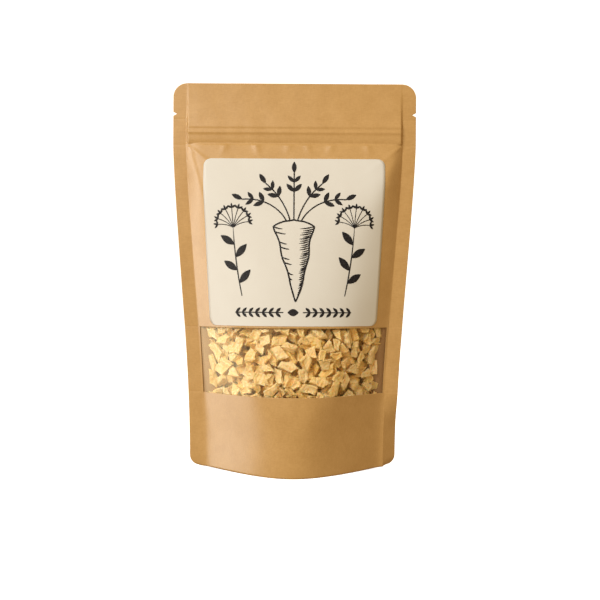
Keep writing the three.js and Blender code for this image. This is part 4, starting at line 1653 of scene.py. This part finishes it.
@dataclass(frozen=True)
class DicedFilling:
    """The dice: laid against the window's film, and loosely stacked through the rest of the bag."""

    form: BagForm
    window: WindowBand
    cut: ChipCut = ChipCut()
    plain_cut: ChipCut = ChipCut(steps_a_side=2, rings=(1.0,))
    forms: int = 32
    plain_forms: int = 6
    seed: int = 7
    film_gap: float = 0.55 * MM
    side_limit: float = 0.976
    honey_depth: float = 9 * MM
    window_dice: int = 600
    window_samples: int = 1500
    tries: int = 12
    spots_a_try: int = 12
    following: float = 0.55
    tilt: float = 0.42
    heap_foot: float = 10 * MM
    heap_head: float = 136 * MM
    heap_step: float = 7.8 * MM
    heap_samples: int = 300
    heap_edge: float = 0.86
    heap_drift: float = 0.22
    sheet_gap: float = 5.6 * MM
    window_margin: float = 5 * MM
    window_clearance: float = 9 * MM
    # Tones of the hidden dice, darker than most in the window: painted shade for dice deep in the bag.
    heap_tones: Range = (0.9, 1.3)
    floor_middle: float = 3 * MM
    floor_rise: float = 30 * MM
    floor_half_width: float = 46 * MM
    floor_power: float = 2.2

    def make(self, parsnip: bpy.types.Material) -> None:
        """Makes the window's dice and the hidden ones."""
        rng = np.random.default_rng(self.seed)
        noise.seed_set(self.seed)
        maker = ChipMaker(self.cut, rng)
        chips = [maker.make() for _ in range(self.forms)]
        self.build("parsnip_dice_seen", chips, self.bed(chips, rng), parsnip, "parsnip_dice")
        plain = ChipMaker(self.plain_cut, rng)
        chips = [plain.make() for _ in range(self.plain_forms)]
        self.build("parsnip_dice_hidden", chips, self.stack(chips, rng), parsnip)

    def build(self, name: str, chips: list[Chip], placed: list[Placed], parsnip: bpy.types.Material,
              *replaced: str) -> None:
        """Puts a die at each place and makes one piece of them."""
        shapes = bpy.data.collections.new(f"{name}_forms")
        for k, chip in enumerate(chips):
            chip.link(f"{name}_form_{k:02d}", shapes, self.cut.sharp_from)
        piece = new_piece(name, np.array([p.spot for p in placed]), [])
        store = piece.data.attributes.new
        store("turn", "FLOAT_VECTOR", "POINT").data.foreach_set("vector", [v for p in placed for v in p.turn])
        store("form", "INT", "POINT").data.foreach_set("value", [p.form for p in placed])
        store("tone", "FLOAT", "POINT").data.foreach_set("value", [p.tone for p in placed])
        LaidDice().run(piece, {"Forms": shapes, "Material": parsnip})
        finish_piece(piece, "parsnip", *replaced)
        for chip in list(shapes.objects):
            bpy.data.objects.remove(chip)
        bpy.data.collections.remove(shapes)

    def drawn_turn(self, slope: np.ndarray, rng: np.random.Generator) -> Quaternion:
        """A random turn of a die that lies nearly flat on film of this slope."""
        facing = Vector((slope[0] * self.following, -1.0, slope[1] * self.following))
        lean = Vector((rng.normal(0, self.tilt), rng.normal(0, self.tilt), 0))
        tilt = Euler((lean.x, lean.y, 0)).to_quaternion()
        spin = Euler((0, 0, rng.uniform(0, 2 * math.pi))).to_quaternion()
        return facing.to_track_quat("Z", "X") @ tilt @ spin

    def bed(self, chips: list[Chip], rng: np.random.Generator) -> list[Placed]:
        """Lays the dice behind the window, each where the best of a few tries fits."""
        bed = WindowBed(self.form, self.window, self.side_limit, self.film_gap)
        samples = [chip.samples(self.window_samples, rng) for chip in chips]
        placed = []
        for _ in range(self.window_dice):
            best = None
            for _ in range(self.tries):
                x, z = bed.emptiest(rng, self.spots_a_try)
                i, j = bed.cell_of(np.array([x]), np.array([z]))
                turn = self.drawn_turn(bed.slope[i[0], j[0]], rng)
                pick = int(rng.integers(len(chips)))
                turned = samples[pick] @ np.array(turn.to_matrix()).T
                found = bed.fit(turned, x, z)
                if found and (best is None or found[0] < best[0]):
                    best = (*found, x, z, turn, pick)
            if best:
                depth, y, (at, rear), x, z, turn, pick = best
                bed.laid[at] = np.maximum(bed.laid[at], rear)
                # Each die's tone is partly random and partly painted shade: dice that lie deeper behind the
                # film get darker straw and honey tones.
                tone = 0.45 * float(rng.random()) + 0.6 * min(1.2, depth / self.honey_depth)
                placed.append(Placed((x, y, z), tuple(turn.to_euler()), pick, tone))
        deep = float(np.median((bed.laid - bed.film)[bed.open])) / MM
        LOG.info("window: %d dice laid, %.1f mm deep", len(placed), deep)
        return placed

    def stack(self, chips: list[Chip], rng: np.random.Generator) -> list[Placed]:
        """The hidden dice, in uneven rows through the bag, inside its sheets and above its gusset."""
        placed = []
        window, step, edge = self.window, self.heap_step, self.heap_edge
        samples = [chip.samples(self.heap_samples, rng) for chip in chips]
        for z in np.arange(self.heap_foot, self.heap_head, step):
            in_window = window.foot - self.window_margin < z < window.head + self.window_margin
            inner = self.form.inner_x(z)
            for s in np.arange(-edge, edge + 1e-4, step / inner):
                reach = self.form.belly(s, z) - self.sheet_gap
                front = -reach + (self.window_clearance if in_window else 0)
                for y in np.arange(front, reach, step):
                    drift = rng.uniform(-self.heap_drift, self.heap_drift, 3) * step
                    spot = tuple((s * inner, y, z) + drift)
                    turn = tuple(rng.uniform(-math.pi, math.pi, 3))
                    pick, tone = int(rng.integers(len(chips))), float(rng.uniform(*self.heap_tones))
                    turned = samples[pick] @ np.array(Euler(turn).to_matrix()).T
                    if self.holds(turned + spot):
                        placed.append(Placed(spot, turn, pick, tone))
        return placed

    def holds(self, points: np.ndarray) -> bool:
        """Whether all these points lie inside the bag's sheets and above its gusset."""
        x, y, z = points.T
        inner = self.form.inner_x(z)
        room = self.form.belly(np.clip(np.abs(x) / inner, 0, 1), z) - self.film_gap
        outward = np.clip(np.abs(x) / self.floor_half_width, 0, 1)
        floor = self.floor_middle + self.floor_rise * outward**self.floor_power
        held = (np.abs(x) < self.side_limit * inner) & (np.abs(y) < room) & (z > floor)
        return bool(held.all())


class LaidDice(FormTree):
    """The tree that puts a die on each point, of the form, the turn and the tone stored there."""

    def __init__(self) -> None:
        """Builds the tree."""
        super().__init__("laid_dice")
        forms = self.entry("Forms", "NodeSocketCollection")
        shapes = self.node("GeometryNodeCollectionInfo", None, Collection=forms, Separate_Children=True,
                           Reset_Children=True).outputs["Instances"]
        points = self.node("GeometryNodeMeshToPoints", Mesh=self.geometry()).outputs["Points"]
        turn = self.stored("turn", "FLOAT_VECTOR")
        rotation = self.node("FunctionNodeEulerToRotation", Euler=turn).outputs["Rotation"]
        laid = self.node("GeometryNodeInstanceOnPoints", None, Points=points, Instance=shapes,
                         Pick_Instance=True, Instance_Index=self.stored("form", "INT"), Rotation=rotation)
        toned = self.node("GeometryNodeStoreNamedAttribute", {"data_type": "FLOAT", "domain": "INSTANCE"},
                          Geometry=laid.outputs["Instances"], Name="chip_tone",
                          Value=self.stored("tone", "FLOAT"))
        self.end(toned.outputs["Geometry"])


@dataclass(frozen=True)
class SoftBox:
    """A lamp: its place, its width and height, its power in watts and its colour. One that gives
    sheen only lights no matt surface."""

    name: str
    place: tuple[float, float, float]
    area: tuple[float, float]
    watts: float
    colour: Colour
    sheen_only: bool = False

    def light(self, aim: Vector) -> None:
        """Adds the lamp, turned to a spot."""
        light = bpy.data.lights.new(self.name, "AREA")
        light.shape = "RECTANGLE"
        light.size, light.size_y = self.area
        light.energy = self.watts
        light.color = self.colour
        lamp = bpy.data.objects.new(self.name, light)
        lamp.location = self.place
        lamp.rotation_euler = (aim - Vector(self.place)).to_track_quat("-Z", "Y").to_euler()
        lamp.visible_diffuse = not self.sheen_only
        bpy.context.scene.collection.objects.link(lamp)


SOFT_BOXES = (
    SoftBox("key", (-0.62, -0.95, 0.75), (0.7, 0.8), 14.3, (1.0, 0.985, 0.96)),
    SoftBox("side_card", (-0.854, -0.155, 0.1), (0.18, 0.78), 7.2, (1.0, 0.98, 0.94), sheen_only=True),
    SoftBox("back", (0.5, 0.9, 0.7), (0.6, 0.6), 5.0, (1.0, 0.97, 0.92)),
)


@dataclass(frozen=True)
class Studio:
    """The white floor and backdrop, the lamps, the warm light from the room and the camera."""

    radius: float = 1.9
    height: float = 2.4
    cove: float = 0.5
    cove_steps: int = 12
    sides: int = 96
    aim: tuple[float, float, float] = (0.0, 0.0, 100 * MM)
    room_colour: Colour = (1.0, 0.71, 0.38)
    room_strength: float = 0.47
    eye: tuple[float, float, float] = (3.5 * MM, -420 * MM, 91 * MM)
    lens: float = 46.53
    roll: float = math.radians(-0.36)

    def build(self) -> None:
        """Builds the studio."""
        self.backdrop()
        for box in SOFT_BOXES:
            box.light(Vector(self.aim))
        world = bpy.data.worlds.new("studio")
        world.use_nodes = True
        room = world.node_tree.nodes["Background"]
        room.inputs["Color"].default_value = (*self.room_colour, 1)
        room.inputs["Strength"].default_value = self.room_strength
        bpy.context.scene.world = world
        bpy.context.scene.view_settings.view_transform = "Standard"
        camera = bpy.data.objects.new("camera", bpy.data.cameras.new("camera"))
        camera.data.lens = self.lens
        camera.location = self.eye
        camera.rotation_euler = (math.pi / 2, self.roll, 0.0)
        bpy.context.scene.collection.objects.link(camera)
        bpy.context.scene.camera = camera

    def backdrop(self) -> None:
        """A round floor that sweeps up into a wall on all sides. It gives the pouch no light."""
        flat = self.radius - self.cove
        profile = [(0.02, 0.0), (0.2, 0.0), (flat, 0.0)]
        for k in range(1, self.cove_steps + 1):
            turn = math.pi / 2 * k / self.cove_steps
            profile.append((flat + self.cove * math.sin(turn), self.cove * (1 - math.cos(turn))))
        profile.append((self.radius, self.height))
        sides = self.sides
        turns = np.arange(sides) * 2 * math.pi / sides
        points = [(r * math.cos(t), r * math.sin(t), z) for r, z in profile for t in turns]
        faces = [tuple(range(sides))]
        for k in range(len(profile) - 1):
            for j in range(sides):
                a, b = k * sides + j, k * sides + (j + 1) % sides
                faces.append((a, b, b + sides, a + sides))
        sweep = new_piece("studio_sweep", np.array(points), faces)
        sweep.data.materials.append(StudioPaper().material())
        sweep.data.shade_smooth()
        sweep.visible_diffuse = False
        sweep.visible_glossy = False
        sweep.visible_shadow = False


def main() -> None:
    """Builds the pouch and the studio."""
    logging.basicConfig(level=logging.INFO, format="%(name)s %(message)s")
    form, window = BagForm(), WindowBand()
    sheet = BagSheet(form)
    kraft = KraftPaper().material()
    KraftBag(form, window).make(sheet, kraft)
    film = WindowFilm(window)
    film.make(sheet, ClearFilm().material())
    # A darker copy of the kraft: painted shade for the margins that lie behind the film.
    shaded_kraft = KraftPaper("kraft_inside", pale=(0.42, 0.245, 0.115), deep=(0.33, 0.185, 0.075))
    film.make_margins(form, shaded_kraft.material())
    Label(form).make(sheet, LabelPaper().material(), PrintedInk().material())
    PressToCloseZip().dress(ZipPolythene().material())
    DicedFilling(form, window).make(DriedParsnip().material())
    Studio().build()


if __name__ == "__main__":
    main()
